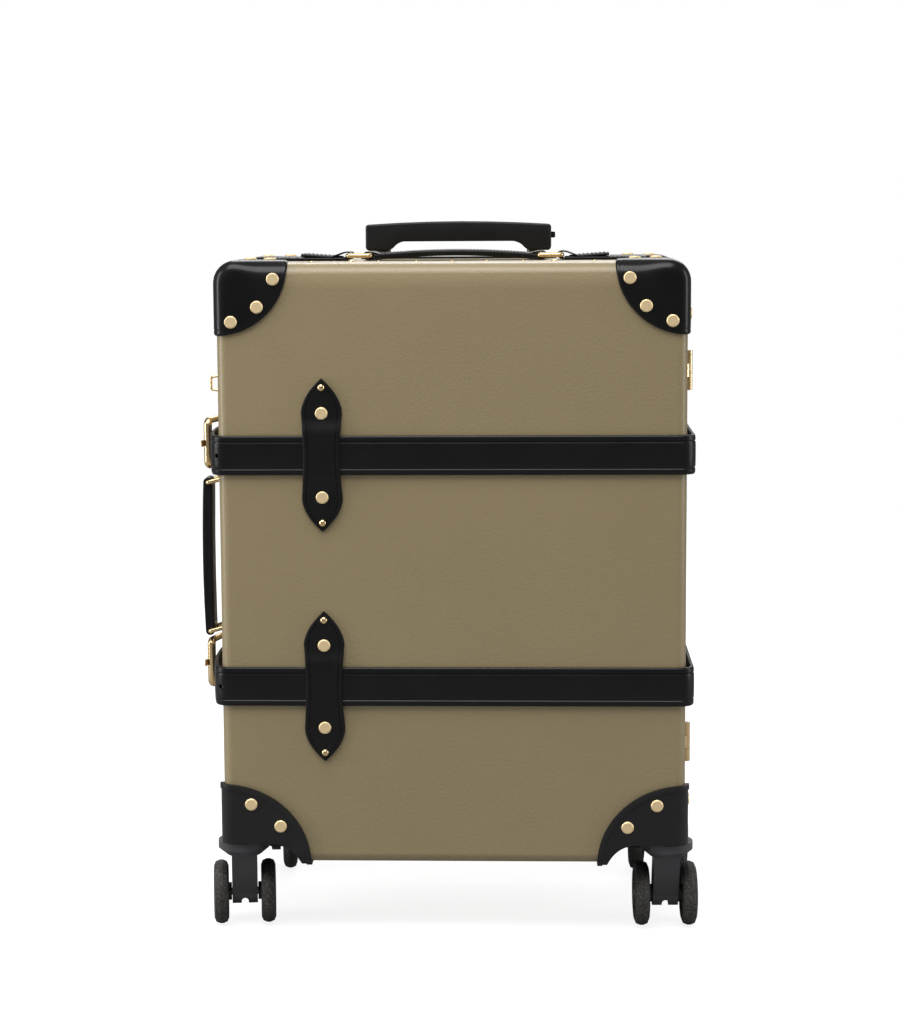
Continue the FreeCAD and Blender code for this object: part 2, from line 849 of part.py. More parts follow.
def lock_case():
    """A lock body with windows for its dials, a T slot for its slider and a socket for the hasp."""
    case = box((lock_front, lock_low_y, lock_z - lock_height / 2), (lock_back, lock_high_y, lock_top))
    outer = [edge for edge in case.Edges if edge.BoundBox.XMax < lock_front + seat_gap]
    case = case.makeFillet(lock_round, outer)
    room = dial_radius + move_gap
    for height in dial_heights:
        half = dial_thickness / 2 + move_gap
        window = box((-far, dial_y - room, height - half), (lock_back, dial_y + room, height + half))
        case = case.cut(window)
    stem = slider_stem / 2 + move_gap
    foot = slider_foot / 2 + move_gap
    ledge = lock_back - slider_foot_thickness - 2 * move_gap
    case = case.cut(box((-far, dial_y - stem, slider_low), (lock_back, dial_y + stem, slider_high)))
    case = case.cut(box((ledge, dial_y - foot, slider_low), (lock_back, dial_y + foot, slider_high)))
    socket_half = hasp_width / 2 + move_gap
    socket_front = lock_back - hasp_thickness - move_gap
    socket_end = lock_low_y + hasp_tongue + move_gap
    socket = box((socket_front, -far, lock_z - socket_half), (lock_back, socket_end, lock_z + socket_half))
    case = case.cut(socket)
    return case.cut(rod(dial_axle_radius + pin_gap, dial_axle_low, dial_axle_high))


def lock_dial(height):
    """A numbered wheel on the lock's axle, with finger notches round its edge."""
    through = ALONG_Z * dial_thickness
    centre = V(dial_x, dial_y, height)
    dial = rod(dial_radius, centre - through / 2, centre + through / 2)
    for index in range(dial_notches):
        angle = 2 * math.pi * index / dial_notches
        notch = centre + V(math.cos(angle), math.sin(angle), 0) * dial_radius
        dial = dial.cut(rod(dial_notch_radius, notch - through, notch + through))
    return dial.cut(rod(dial_axle_radius + pin_gap, centre - through, centre + through))


def lock_slider():
    """A thumb slide with a foot held behind the lock's face."""
    low = slider_low + move_gap
    high = low + slider_height
    ledge = lock_back - slider_foot_thickness - move_gap
    back = ledge + slider_foot_thickness
    stem_half = slider_stem / 2
    foot_half = slider_foot / 2
    stem = box((lock_front - slider_show, dial_y - stem_half, low), (back, dial_y + stem_half, high))
    foot = box((ledge, dial_y - foot_half, low), (back, dial_y + foot_half, high))
    return fuse_all([stem, foot])


def lock_hasp():
    """A plate on the lid whose tongue enters the lock."""
    back = lock_back - seat_gap
    tip = lock_low_y + hasp_tongue
    half = hasp_width / 2
    start = split_y - hasp_length
    hasp = box((back - hasp_thickness, start, lock_z - half), (back, tip, lock_z + half))
    ends = [edge for edge in hasp.Edges if edge.BoundBox.XLength > hasp_thickness / 2]
    return hasp.makeFillet(lock_round, ends)


tag_z = side_mid_z + tag_rise
tag_x = -half_width - seat_gap - tag_plate - tag_knuckle


def tag_loop():
    """A small trapezoid of wire that swings on its plate."""
    corners = [
        V(tag_x, tag_y, tag_z - tag_base / 2),
        V(tag_x - tag_depth, tag_y, tag_z - tag_end / 2),
        V(tag_x - tag_depth, tag_y, tag_z + tag_end / 2),
        V(tag_x, tag_y, tag_z + tag_base / 2),
    ]
    return wire_loop(corners, tag_wire + tag_bend_room, tag_wire)


def tag_loop_plate():
    """A riveted plate with a knuckle that holds the tag loop."""
    back = -half_width - seat_gap
    half_z = tag_plate_height / 2
    half_y = tag_plate_width / 2
    base = box((back - tag_plate, tag_y - half_y, tag_z - half_z), (back, tag_y + half_y, tag_z + half_z))
    uprights = [edge for edge in base.Edges if edge.BoundBox.XLength > tag_plate / 2]
    base = base.makeFillet(half_y / 2, uprights)
    knuckle_half = tag_base / 2 - 2 * tag_wire - tag_bend_room - move_gap
    low = V(tag_x, tag_y, tag_z - knuckle_half)
    high = V(tag_x, tag_y, tag_z + knuckle_half)
    knuckle = rod(tag_knuckle, low, high)
    web = box((tag_x, tag_y - tag_knuckle, low.z), (back - tag_plate / 2, tag_y + tag_knuckle, high.z))
    return fuse_all([base, knuckle, web]).cut(rod(tag_wire + pin_gap, low, high))


ring_z = body_top + ring_rise
top_tab_x = top_handle_half_span + ring_reach
eye_radius = ring_wire + pin_gap + eye_wall
ring_half = top_handle_width / 2 + move_gap + ring_wire


def top_ring(side):
    """A flat wire ring between a handle end and its tab."""
    near = V(side * top_handle_half_span, 0, ring_z)
    away = V(side * top_tab_x, 0, ring_z)
    across = ALONG_Y * ring_half
    corners = [near - across, near + across, away + across, away - across]
    return wire_loop(corners, ring_wire + ring_bend_room, ring_wire)


def top_handle():
    """A bowed leather grip whose ends wrap the rings, with room for the rings to stand up."""
    half = top_handle_width / 2
    slack = ring_reach * (1 - math.cos(math.radians(ring_lift_angle))) + move_gap
    crown = body_top + top_handle_bow
    under = crown - top_handle_thickness
    end_x = top_handle_half_span
    steps = [
        V(-end_x, -half, ring_z - eye_radius),
        (V(0, -half, under), V(end_x, -half, ring_z - eye_radius)),
        V(end_x, -half, ring_z + eye_radius),
        (V(0, -half, crown), V(-end_x, -half, ring_z + eye_radius)),
    ]
    grip = plate(steps, ALONG_Y * top_handle_width)
    pieces = [grip]
    holes = []
    eye_room = ring_wire + move_gap
    for side in (-1, 1):
        inner = V(side * end_x, -half, ring_z)
        outer = V(side * (end_x + slack), -half, ring_z)
        low_x = min(inner.x, outer.x)
        high_x = max(inner.x, outer.x)
        pieces.append(Part.makeCylinder(eye_radius, top_handle_width, outer, ALONG_Y))
        pieces.append(box((low_x, -half, ring_z - eye_radius), (high_x, half, ring_z + eye_radius)))
        holes.append(Part.makeCylinder(eye_room, top_handle_width, inner, ALONG_Y))
        holes.append(Part.makeCylinder(eye_room, top_handle_width, outer, ALONG_Y))
        holes.append(box((low_x, -half, ring_z - eye_room), (high_x, half, ring_z + eye_room)))
    handle = fuse_all(pieces)
    for hole in holes:
        handle = handle.cut(hole)
    return handle


def top_handle_tab(side):
    """A leather tab that is folded round a ring and sewn down as a wedge."""
    half = top_handle_width / 2
    floor = body_top + seat_gap
    end_x = top_tab_x + top_tab_length
    wedge_x = top_tab_x + top_tab_wedge
    steps = [
        V(side * top_tab_x, -half, ring_z + eye_radius),
        V(side * wedge_x, -half, floor + top_tab_thickness),
        V(side * end_x, -half, floor + top_tab_thickness),
        V(side * end_x, -half, floor),
        V(side * top_tab_x, -half, floor),
    ]
    tab = plate(steps, ALONG_Y * top_handle_width)
    start = V(side * top_tab_x, -half, ring_z)
    eye = Part.makeCylinder(eye_radius, top_handle_width, start, ALONG_Y)
    hole = Part.makeCylinder(ring_wire + pin_gap, top_handle_width, start, ALONG_Y)
    return fuse_all([tab, eye]).cut(hole)


side_ring_x = -half_width - side_ring_standoff
side_ring_half = side_handle_width / 2 + move_gap + ring_wire
side_pivot_high = upper_strap_z - buckle_half - buckle_wire - handle_buckle_gap - eye_radius
side_out = ring_reach * math.cos(math.radians(side_ring_slope))
side_down = ring_reach * math.sin(math.radians(side_ring_slope))
side_pivot_low = lower_strap_z + buckle_half + buckle_wire + handle_buckle_gap + eye_radius + side_down


def side_ring(pivot_z):
    """A wire ring that slopes down from the wall to one end of the side handle."""
    inner = V(side_ring_x, side_handle_y, pivot_z)
    outer = V(side_ring_x - side_out, side_handle_y, pivot_z - side_down)
    across = ALONG_Y * side_ring_half
    corners = [inner - across, inner + across, outer + across, outer - across]
    return wire_loop(corners, ring_wire + ring_bend_room, ring_wire)


def side_handle():
    """A bowed leather handle with an eye at each end."""
    low = side_handle_y - side_handle_width / 2
    x = side_ring_x - side_out
    high_z = side_pivot_high - side_down
    low_z = side_pivot_low - side_down
    middle = (high_z + low_z) / 2
    half = side_handle_thickness / 2
    steps = [
        V(x + eye_radius, low, low_z),
        (V(x + half - side_handle_bow, low, middle), V(x + eye_radius, low, high_z)),
        V(x - eye_radius, low, high_z),
        (V(x - half - side_handle_bow, low, middle), V(x - eye_radius, low, low_z)),
    ]
    pieces = [plate(steps, ALONG_Y * side_handle_width)]
    holes = []
    for z in (high_z, low_z):
        pieces.append(Part.makeCylinder(eye_radius, side_handle_width, V(x, low, z), ALONG_Y))
        holes.append(Part.makeCylinder(ring_wire + pin_gap, side_handle_width, V(x, low, z), ALONG_Y))
    handle = fuse_all(pieces)
    for hole in holes:
        handle = handle.cut(hole)
    return handle


def side_handle_tab(pivot_z, inward):
    """A leather tab on the wall, folded round a ring."""
    half = side_handle_width / 2
    wall = -half_width - seat_gap
    end_z = pivot_z + inward * side_tab_length
    tab = box((wall - side_tab_thickness, side_handle_y - half, min(pivot_z, end_z)),
              (wall, side_handle_y + half, max(pivot_z, end_z)))
    start = V(side_ring_x, side_handle_y - half, pivot_z)
    eye = Part.makeCylinder(eye_radius, side_handle_width, start, ALONG_Y)
    hole = Part.makeCylinder(ring_wire + pin_gap, side_handle_width, start, ALONG_Y)
    return fuse_all([tab, eye]).cut(hole)


tube_growth = 2 * (tube_wall + tube_slip)
middle_tube_width = inner_tube_width + tube_growth
middle_tube_depth = inner_tube_depth + tube_growth
outer_tube_width = middle_tube_width + tube_growth
outer_tube_depth = middle_tube_depth + tube_growth
foot_low = body_bottom + board + seat_gap
tube_floor = foot_low + foot_height - foot_socket
bezel_low = body_top + seat_gap
bezel_top = bezel_low + bezel_thickness
grip_low = body_top + grip_bottom_rise
board_high = trolley_y - outer_tube_depth / 2 - foot_wall
board_low = board_high - back_board


def tube_pair(width, depth, corner, low, high):
    """Two thin rectangular tubes, one each side of the middle."""
    tube = rounded_bar(width, depth, corner, low, high)
    inside = 2 * tube_wall
    bore = rounded_bar(width - inside, depth - inside, corner - tube_wall, low - cut_over, high + cut_over)
    tube = tube.cut(bore)
    return [on_trolley(tube, side) for side in (-1, 1)]


def on_trolley(shape, side):
    """A copy of a piece made on the Z axis, moved to one of the trolley's two tubes."""
    copy = shape.copy()
    copy.translate(V(side * trolley_half_span, trolley_y, 0))
    return copy


def tube_passage(width, depth, corner, low, high):
    """Two upright holes for the tubes."""
    hole = rounded_bar(width, depth, corner, low, high)
    return Part.makeCompound([on_trolley(hole, side) for side in (-1, 1)])


middle_corner = tube_corner + tube_wall + tube_slip
outer_corner = middle_corner + tube_wall + tube_slip
passage = tube_passage(middle_tube_width + 2 * move_gap, middle_tube_depth + 2 * move_gap,
                       middle_corner + move_gap, body_top - board - cut_over, bezel_top + cut_over)


def trolley_bezel():
    """A thin plate on top of the case round the two tubes."""
    bezel = rounded_bar(2 * bezel_half_width, bezel_depth, bezel_corner, bezel_low, bezel_top)
    bezel.translate(ALONG_Y * trolley_y)
    return bezel.cut(passage)


def trolley_foot():
    """A block inside the base with a socket for each outer tube."""
    low = (-foot_half_width, board_high + seat_gap, foot_low)
    high = (foot_half_width, trolley_y + outer_tube_depth / 2 + foot_wall, foot_low + foot_height)
    foot = box(low, high)
    room = 2 * seat_gap
    sockets = tube_passage(outer_tube_width + room, outer_tube_depth + room, outer_corner + seat_gap,
                           tube_floor - seat_gap, tube_floor + foot_socket + cut_over)
    return foot.cut(sockets)


def trolley_grip():
    """A moulded grip: an arched bar on two posts with slanted feet."""
    low = trolley_y - grip_depth / 2
    shoulder = grip_low + grip_shoulder
    bar = grip_low + grip_bar_rise
    foot = grip_slot_half + grip_slot_flare
    steps = [
        V(-grip_half_width, low, grip_low),
        V(-grip_half_width, low, shoulder),
        (V(0, low, shoulder + grip_crown), V(grip_half_width, low, shoulder)),
        V(grip_half_width, low, grip_low),
        V(foot, low, grip_low),
        V(grip_slot_half, low, bar),
        V(-grip_slot_half, low, bar),
        V(-foot, low, grip_low),
    ]
    grip = plate(steps, ALONG_Y * grip_depth)
    flat_edges = [edge for edge in grip.Edges if edge.BoundBox.YLength < seat_gap]
    rims = [edge for edge in flat_edges if edge.BoundBox.ZMax > shoulder - seat_gap]
    grip = grip.makeFillet(grip_round, rims)
    room = 2 * seat_gap
    sockets = tube_passage(inner_tube_width + room, inner_tube_depth + room, tube_corner + seat_gap,
                           grip_low - cut_over, grip_low + grip_socket)
    pocket_low = grip_low + button_rise - button_length / 2 - move_gap
    pocket_high = pocket_low + button_length + 2 * move_gap
    pocket_half = button_width / 2 + move_gap
    pocket_x = grip_half_width - button_hidden - button_travel - move_gap
    pocket = box((pocket_x, trolley_y - pocket_half, pocket_low), (far, trolley_y + pocket_half, pocket_high))
    return grip.cut(sockets).cut(pocket)


def release_button():
    """A push button in the right end of the grip."""
    middle = grip_low + button_rise
    low = (grip_half_width - button_hidden, trolley_y - button_width / 2, middle - button_length / 2)
    high = (grip_half_width + button_show, trolley_y + button_width / 2, middle + button_length / 2)
    button = box(low, high)
    end = [edge for edge in button.Edges if edge.BoundBox.XMin > grip_half_width]
    return button.makeFillet(button_round, end)


def ring_frame(inner, outer, low_y, high_y):
    """A ring that follows the inside of the body between two planes."""
    return layer(-outer, -inner).common(slab(low_y, high_y))


lid_edge = split_y - split_gap / 2
base_edge = split_y + split_gap / 2
rim_outside = board + seat_gap
rim_inside = rim_outside + rim_thickness
lip_end = split_y - rim_lip
lid_rim_high = lip_end - split_gap
lid_rim_low = lid_rim_high - lid_rim_width
base_rim_high = base_edge + base_rim_width
cup_cut = {name: recess(name, housing_skin + seat_gap) for name in corner_names}


def cut_cups(shape, names):
    """A shape with the wheel recesses of some corners taken out."""
    for name in names:
        shape = shape.cut(cup_cut[name])
    return shape


def back_board_piece():
    """The inner board in front of the trolley tubes, notched over the rear housings."""
    inside = body_block(-rim_outside).common(slab(board_low, board_high))
    for name in base_corners:
        sign_x = corner_signs[name][0]
        inner_x = sign_x * (half_width - housing_reach)
        outer_x = sign_x * body_width
        high_z = recess_ceiling + pillar_height + kingpin_nut + move_gap
        inside = inside.cut(box((min(inner_x, outer_x), -far, 0), (max(inner_x, outer_x), far, high_z)))
    return inside


shell = layer(-board, 0)
inner_lining = layer(-rim_outside - lining, -rim_outside)

nodes = {}
nodes["base_shell"] = cut_cups(shell.common(slab(base_edge, far)), base_corners).cut(passage)
nodes["lid_shell"] = cut_cups(shell.common(slab(-far, lid_edge)), lid_corners)
nodes["base_rim"] = ring_frame(rim_outside, rim_inside, lip_end, base_rim_high)
nodes["lid_rim"] = ring_frame(rim_outside, rim_inside, lid_rim_low, lid_rim_high)
base_lining_zone = slab(base_rim_high + seat_gap, board_low - seat_gap)
lid_lining_zone = slab(-far, lid_rim_low - seat_gap)
nodes["base_lining"] = cut_cups(inner_lining.common(base_lining_zone), base_corners)
nodes["lid_lining"] = cut_cups(inner_lining.common(lid_lining_zone), lid_corners)
nodes["back_board"] = back_board_piece()

nodes["lid_corners"] = Part.makeCompound([corner_leather_piece(name) for name in lid_corners])
nodes["base_corners"] = Part.makeCompound([corner_leather_piece(name) for name in base_corners])
nodes["front_wheel_housings"] = Part.makeCompound([wheel_housing(name) for name in lid_corners])
nodes["rear_wheel_housings"] = Part.makeCompound([wheel_housing(name) for name in base_corners])

lid_heads = []
base_heads = []
for name in lid_corners:
    lid_heads += corner_rivets(name) + housing_rivets(name)
for name in base_corners:
    base_heads += corner_rivets(name) + housing_rivets(name)
for height in strap_heights:
    lid_heads += loop_rivets(-1, height)
    base_heads += loop_rivets(1, height)
nodes["lid_rivets"] = Part.makeCompound(lid_heads)
nodes["base_rivets"] = Part.makeCompound(base_heads)

nodes["lid_strap_loops"] = Part.makeCompound([strap_loop(-1, height) for height in strap_heights])
nodes["base_strap_loops"] = Part.makeCompound([strap_loop(1, height) for height in strap_heights])
nodes["lid_straps"] = Part.makeCompound([lid_strap(height) for height in strap_heights])
nodes["base_straps"] = Part.makeCompound([base_strap(height) for height in strap_heights])
for level, height in (("upper", upper_strap_z), ("lower", lower_strap_z)):
    nodes[level + "_buckle_frame"] = buckle_frame(height)
    nodes[level + "_buckle_prong"] = buckle_prong(height)

hinges = [hinge_pieces(height) for height in hinge_heights]
nodes["lid_hinge_leaves"] = Part.makeCompound([lid_leaf for lid_leaf, base_leaf, pin in hinges])
nodes["base_hinge_leaves"] = Part.makeCompound([base_leaf for lid_leaf, base_leaf, pin in hinges])
nodes["hinge_pins"] = Part.makeCompound([pin for lid_leaf, base_leaf, pin in hinges])

nodes["lock_case"] = lock_case()
nodes["lock_axle"] = rod(dial_axle_radius, dial_axle_low, dial_axle_high)
nodes["lock_hasp"] = lock_hasp()
nodes["lock_slider"] = lock_slider()
for number, height in enumerate(dial_heights, start=1):
    nodes["lock_dial_" + str(number)] = lock_dial(height)

nodes["tag_loop"] = tag_loop()
nodes["tag_loop_plate"] = tag_loop_plate()

nodes["top_handle"] = top_handle()
nodes["top_ring_left"] = top_ring(-1)
nodes["top_ring_right"] = top_ring(1)
nodes["top_handle_tabs"] = Part.makeCompound([top_handle_tab(side) for side in (-1, 1)])
nodes["side_handle"] = side_handle()
nodes["side_ring_upper"] = side_ring(side_pivot_high)
nodes["side_ring_lower"] = side_ring(side_pivot_low)
nodes["side_handle_tabs"] = Part.makeCompound(
    [side_handle_tab(side_pivot_high, -1), side_handle_tab(side_pivot_low, 1)])

outer_top = body_top - board - seat_gap
middle_low = tube_floor + stage_lift
middle_top = bezel_top + middle_tube_show
inner_low = middle_low + stage_lift
inner_top = grip_low + grip_socket - seat_gap
nodes["trolley_outer_tubes"] = Part.makeCompound(
    tube_pair(outer_tube_width, outer_tube_depth, outer_corner, tube_floor, outer_top))
nodes["trolley_middle_tubes"] = Part.makeCompound(
    tube_pair(middle_tube_width, middle_tube_depth, middle_corner, middle_low, middle_top))
nodes["trolley_inner_tubes"] = Part.makeCompound(
    tube_pair(inner_tube_width, inner_tube_depth, tube_corner, inner_low, inner_top))
nodes["trolley_bezel"] = trolley_bezel()
nodes["trolley_foot"] = trolley_foot()
nodes["trolley_grip"] = trolley_grip()
nodes["release_button"] = release_button()

for name in corner_names:
    fork, axle, wheels = caster_pieces(name)
    nodes["caster_fork_" + name] = fork
    nodes["axle_" + name] = axle
    nodes["wheels_" + name] = wheels

os.makedirs("parts", exist_ok=True)
for name, shape in nodes.items():
    shape.exportStep("parts/" + name + ".step")
print(len(nodes), "nodes")
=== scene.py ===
# %% [markdown]
# A trunk-style cabin case: two shells of lacquered fibre board, leather corners and straps, brass
# fittings, a telescopic trolley and four twin-wheel casters. The engineering model is loaded first as a
# fixed frame. Everything below only dresses it: finishes for the hard pieces, and modelled leather and
# cloth in the places that their plain solids hold.

# %% Load the frame
import bpy
import bmesh
import json
import math
from mathutils import Matrix, Vector, noise


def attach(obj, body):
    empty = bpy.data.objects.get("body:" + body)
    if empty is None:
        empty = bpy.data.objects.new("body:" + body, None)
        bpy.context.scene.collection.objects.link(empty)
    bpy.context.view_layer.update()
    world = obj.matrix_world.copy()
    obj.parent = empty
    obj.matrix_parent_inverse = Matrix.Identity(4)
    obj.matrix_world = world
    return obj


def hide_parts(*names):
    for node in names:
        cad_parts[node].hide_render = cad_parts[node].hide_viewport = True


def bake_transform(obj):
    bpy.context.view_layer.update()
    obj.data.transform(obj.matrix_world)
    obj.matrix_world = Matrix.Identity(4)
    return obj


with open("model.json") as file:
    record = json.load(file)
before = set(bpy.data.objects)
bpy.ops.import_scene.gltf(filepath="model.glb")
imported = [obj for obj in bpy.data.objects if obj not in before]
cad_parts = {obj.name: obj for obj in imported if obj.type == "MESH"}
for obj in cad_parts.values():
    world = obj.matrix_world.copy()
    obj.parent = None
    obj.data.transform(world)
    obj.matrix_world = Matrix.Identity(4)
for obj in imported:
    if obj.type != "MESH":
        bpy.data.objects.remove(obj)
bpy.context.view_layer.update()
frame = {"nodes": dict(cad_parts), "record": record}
mm = 0.001

# %% [markdown]
# A few sizes of the case, in millimetres, serve in many steps. Seen from the front its corners have a large
# round, and its faces meet in a small one. What these rounds leave is the flat core of the box.

# %% Case sizes
half_width, half_depth = 178, 100
case_foot, case_top = 58, 520
side_round, edge_round = 15, 8
core_x = half_width - side_round
core_y = half_depth - edge_round
core_low, core_high = case_foot + side_round, case_top - side_round
print("case", 2 * half_width, "x", 2 * half_depth, "x", case_top - case_foot, "mm")

# %% [markdown]
# The camera stands where the photographer stood: a little above the case, nearly two metres in front of
# it, with a long lens. Its turn is built from three plain rotations, so each can be read by itself: look
# to the left, tilt down, and a slight roll.

# %% Camera
eye = Vector((67.5, -1909.2, 555.6)) * mm
look_left = math.radians(2.187)
look_down = math.radians(6.981)
roll = math.radians(-0.317)
focal_pixels = 2403.4
picture_height = 1018
lens_data = bpy.data.cameras.new("camera")
lens_data.sensor_width = 36
lens_data.lens = focal_pixels / picture_height * lens_data.sensor_width
camera = bpy.data.objects.new("camera", lens_data)
bpy.context.collection.objects.link(camera)
camera.matrix_world = (Matrix.Translation(eye) @ Matrix.Rotation(look_left, 4, "Z")
                       @ Matrix.Rotation(math.pi / 2 - look_down, 4, "X") @ Matrix.Rotation(roll, 4, "Z"))
bpy.context.scene.camera = camera
print("lens", round(lens_data.lens, 1), "mm")

# %% [markdown]
# A product picture of this kind is taken in a white tent. A large lamp overhead makes the top brighter than
# the sides, two tall lamps beside the case draw the bright line down each rounded edge, and one behind it
# lights the back. The tent itself stays dim, and a later step sets its glow.

# %% Light and floor
scene = bpy.context.scene
scene.view_settings.view_transform = "Standard"
world = bpy.data.worlds.new("tent")
world.use_nodes = True
scene.world = world


def soft_lamp(name, place, target, width, height, watts):
    """A large flat lamp that points at a target."""
    data = bpy.data.lights.new(name, "AREA")
    data.shape = "RECTANGLE"
    data.size = width
    data.size_y = height
    data.energy = watts
    lamp = bpy.data.objects.new(name, data)
    bpy.context.collection.objects.link(lamp)
    lamp.location = place
    lamp.rotation_euler = (Vector(target) - Vector(place)).to_track_quat("-Z", "Y").to_euler()


lit_place = (0, 0, 0.3)
soft_lamp("overhead", (-0.3, -1.0, 2.6), lit_place, 2.2, 1.6, 62)
soft_lamp("left_strip", (-1.9, -0.5, 0.8), lit_place, 0.6, 1.6, 20)
soft_lamp("right_strip", (2.0, -0.3, 0.8), lit_place, 0.6, 1.6, 13)
soft_lamp("back", (0.2, 2.2, 1.9), lit_place, 1.8, 1.4, 30)

sheet = bmesh.new()
bmesh.ops.create_circle(sheet, cap_ends=True, segments=64, radius=2.6)
floor_mesh = bpy.data.meshes.new("floor")
sheet.to_mesh(floor_mesh)
sheet.free()
floor = bpy.data.objects.new("floor", floor_mesh)
bpy.context.collection.objects.link(floor)
print("lamps and floor are in")

# %% [markdown]
# Finishes are small node trees. Wiring nodes by hand hides the idea, so one class wraps a socket: sums on
# it add Math nodes, and its node method makes any other node from a type, settings and socket values. A
# pattern is then one line of arithmetic.

# %% Shader arithmetic


class Wire:
    """A socket of a node tree that can be used in Python sums."""

    def __init__(self, tree, socket):
        self.tree = tree
        self.socket = socket

    def node(self, kind, settings, values, out=0):
        made = self.tree.nodes.new(kind)
        for name, value in settings.items():
            if name == "stops":
                while len(made.color_ramp.elements) < len(value):
                    made.color_ramp.elements.new(1)
                for element, (place, colour) in zip(made.color_ramp.elements, value):
                    element.position = place
                    element.color = colour
            else:
                setattr(made, name, value)
        for name, value in values.items():
            if isinstance(value, Wire):
                self.tree.links.new(value.socket, made.inputs[name])
            else:
                made.inputs[name].default_value = value
        return Wire(self.tree, made.outputs[out])

    def sum(self, operation, first, second):
        return self.node("ShaderNodeMath", {"operation": operation}, {0: first, 1: second})

    def __add__(self, other):
        return self.sum("ADD", self, other)

    def __radd__(self, other):
        return self.sum("ADD", other, self)

    def __sub__(self, other):
        return self.sum("SUBTRACT", self, other)

    def __rsub__(self, other):
        return self.sum("SUBTRACT", other, self)

    def __mul__(self, other):
        return self.sum("MULTIPLY", self, other)

    def __rmul__(self, other):
        return self.sum("MULTIPLY", other, self)

    def noise(self, scale, detail=2.0, roughness=0.5):
        """Fine random variation between 0 and 1, at a number of bumps per metre."""
        values = {"Vector": self, "Scale": scale, "Detail": detail, "Roughness": roughness}
        return self.node("ShaderNodeTexNoise", {}, values)

    def pebbles(self, scale):
        """Distance to the middle of rounded cells, as on grained leather."""
        return self.node("ShaderNodeTexVoronoi", {"feature": "F1"}, {"Vector": self, "Scale": scale})

    def between(self, low, high):
        """A colour that goes from low to high as this value goes from 0 to 1."""
        stops = [(0, (*low, 1)), (1, (*high, 1))]
        return self.node("ShaderNodeValToRGB", {"stops": stops}, {"Fac": self})


def new_finish(name, constants):
    """An empty finish with its fixed values set, and the surface's own coordinates."""
    material = bpy.data.materials.new(name)
    material.use_nodes = True
    tree = material.node_tree
    shader = tree.nodes["Principled BSDF"]
    for socket, value in constants.items():
        shader.inputs[socket].default_value = value
    coordinates = tree.nodes.new("ShaderNodeTexCoord")
    return material, shader, Wire(tree, coordinates.outputs["Object"])


def feed(shader, wires):
    """Links each finished pattern to a socket of the shader."""
    for socket, wire in wires.items():
        wire.tree.links.new(wire.socket, shader.inputs[socket])


def relief(height, depth):
    """A bump of that depth in metres from a height between 0 and 1."""
    return height.node("ShaderNodeBump", {}, {"Height": height, "Distance": depth})


finishes = {}

# %% [markdown]
# Fibre board is paper pressed hard, then lacquered. It has a fine pebbled skin that only shows where light
# grazes it, and a colour that drifts slightly from place to place. A slow noise gives the drift, and a
# small cell pattern the skin.

# %% Lacquered fibre board
finishes["fibre"], shader, spot = new_finish("fibre_lacquer", {
    "Specular IOR Level": 0.4, "Coat Weight": 0.5, "Coat Roughness": 0.3})
drift = spot.noise(9, 3)
fleck = spot.noise(900, 2)
skin = spot.pebbles(1150) * 0.5 + spot.noise(2600, 2) * 0.3 + spot.noise(420, 2) * 1.4
tone = drift * 0.7 + fleck * 0.3
feed(shader, {
    "Base Color": tone.between((0.294, 0.229, 0.121), (0.354, 0.281, 0.152)),
    "Roughness": 0.36 + fleck * 0.16,
    "Normal": relief(skin, 0.00016),
})

# %% [markdown]
# The leather is dyed black right through. Calf leather has a fine grain of small cells with creases
# between them, and its top is rubbed smooth, so the grain changes the gloss more than the shape.

# %% Black leather
finishes["leather"], shader, spot = new_finish("black_leather", {"Specular IOR Level": 0.28})
cells = spot.pebbles(1500)
wear = spot.noise(60, 4)
feed(shader, {
    "Base Color": wear.between((0.003, 0.003, 0.0032), (0.0065, 0.0063, 0.0065)),
    "Roughness": 0.3 + wear * 0.16,
    "Normal": relief(cells * 0.6 + spot.noise(3500, 2) * 0.4, 0.00007),
})
finishes["corner"], shader, spot = new_finish("polished_corner_leather", {
    "Specular IOR Level": 0.12, "Coat Weight": 0.5, "Coat Roughness": 0.2, "Coat IOR": 1.4})
rub = spot.noise(55, 4)
feed(shader, {
    "Base Color": rub.between((0.002, 0.002, 0.0022), (0.005, 0.0049, 0.0052)),
    "Roughness": 0.36 + rub * 0.18,
    "Normal": relief(spot.pebbles(1500) * 0.5 + spot.noise(3500, 2) * 0.5, 0.00004),
})
finishes["strap"], shader, spot = new_finish("strap_leather", {"Specular IOR Level": 0.3})
streak = spot.noise(45, 4)
feed(shader, {
    "Base Color": streak.between((0.003, 0.003, 0.0034), (0.0065, 0.0065, 0.007)),
    "Roughness": 0.27 + streak * 0.15,
    "Normal": relief(spot.pebbles(1800) * 0.5 + spot.noise(4200, 2) * 0.5, 0.00005),
})

# %% [markdown]
# The stitches are black waxed linen thread, duller than the leather round them. Their colour is also darker
# than the leather's, a painted shade of the sunken stitch holes, so a seam reads as a row of dark dots.

# %% Waxed thread
finishes["thread"], shader, spot = new_finish("waxed_thread_painted_hole_shade", {"Specular IOR Level": 0.04})
twist = spot.noise(2200, 2)
feed(shader, {
    # Base colour: black thread, made darker still as painted shade of the stitch holes.
    "Base Color": twist.between((0.0006, 0.0006, 0.0006), (0.0022, 0.0022, 0.0021)),
    "Roughness": 0.38 + twist * 0.2,
})

# %% [markdown]
# Brass fittings are polished and plated pale gold. Polishing leaves faint marks in every direction, and
# the plating is a little duller in patches, which is enough to keep it from looking like a mirror. Rivets
# are tumbled in a barrel instead, which leaves them satin.

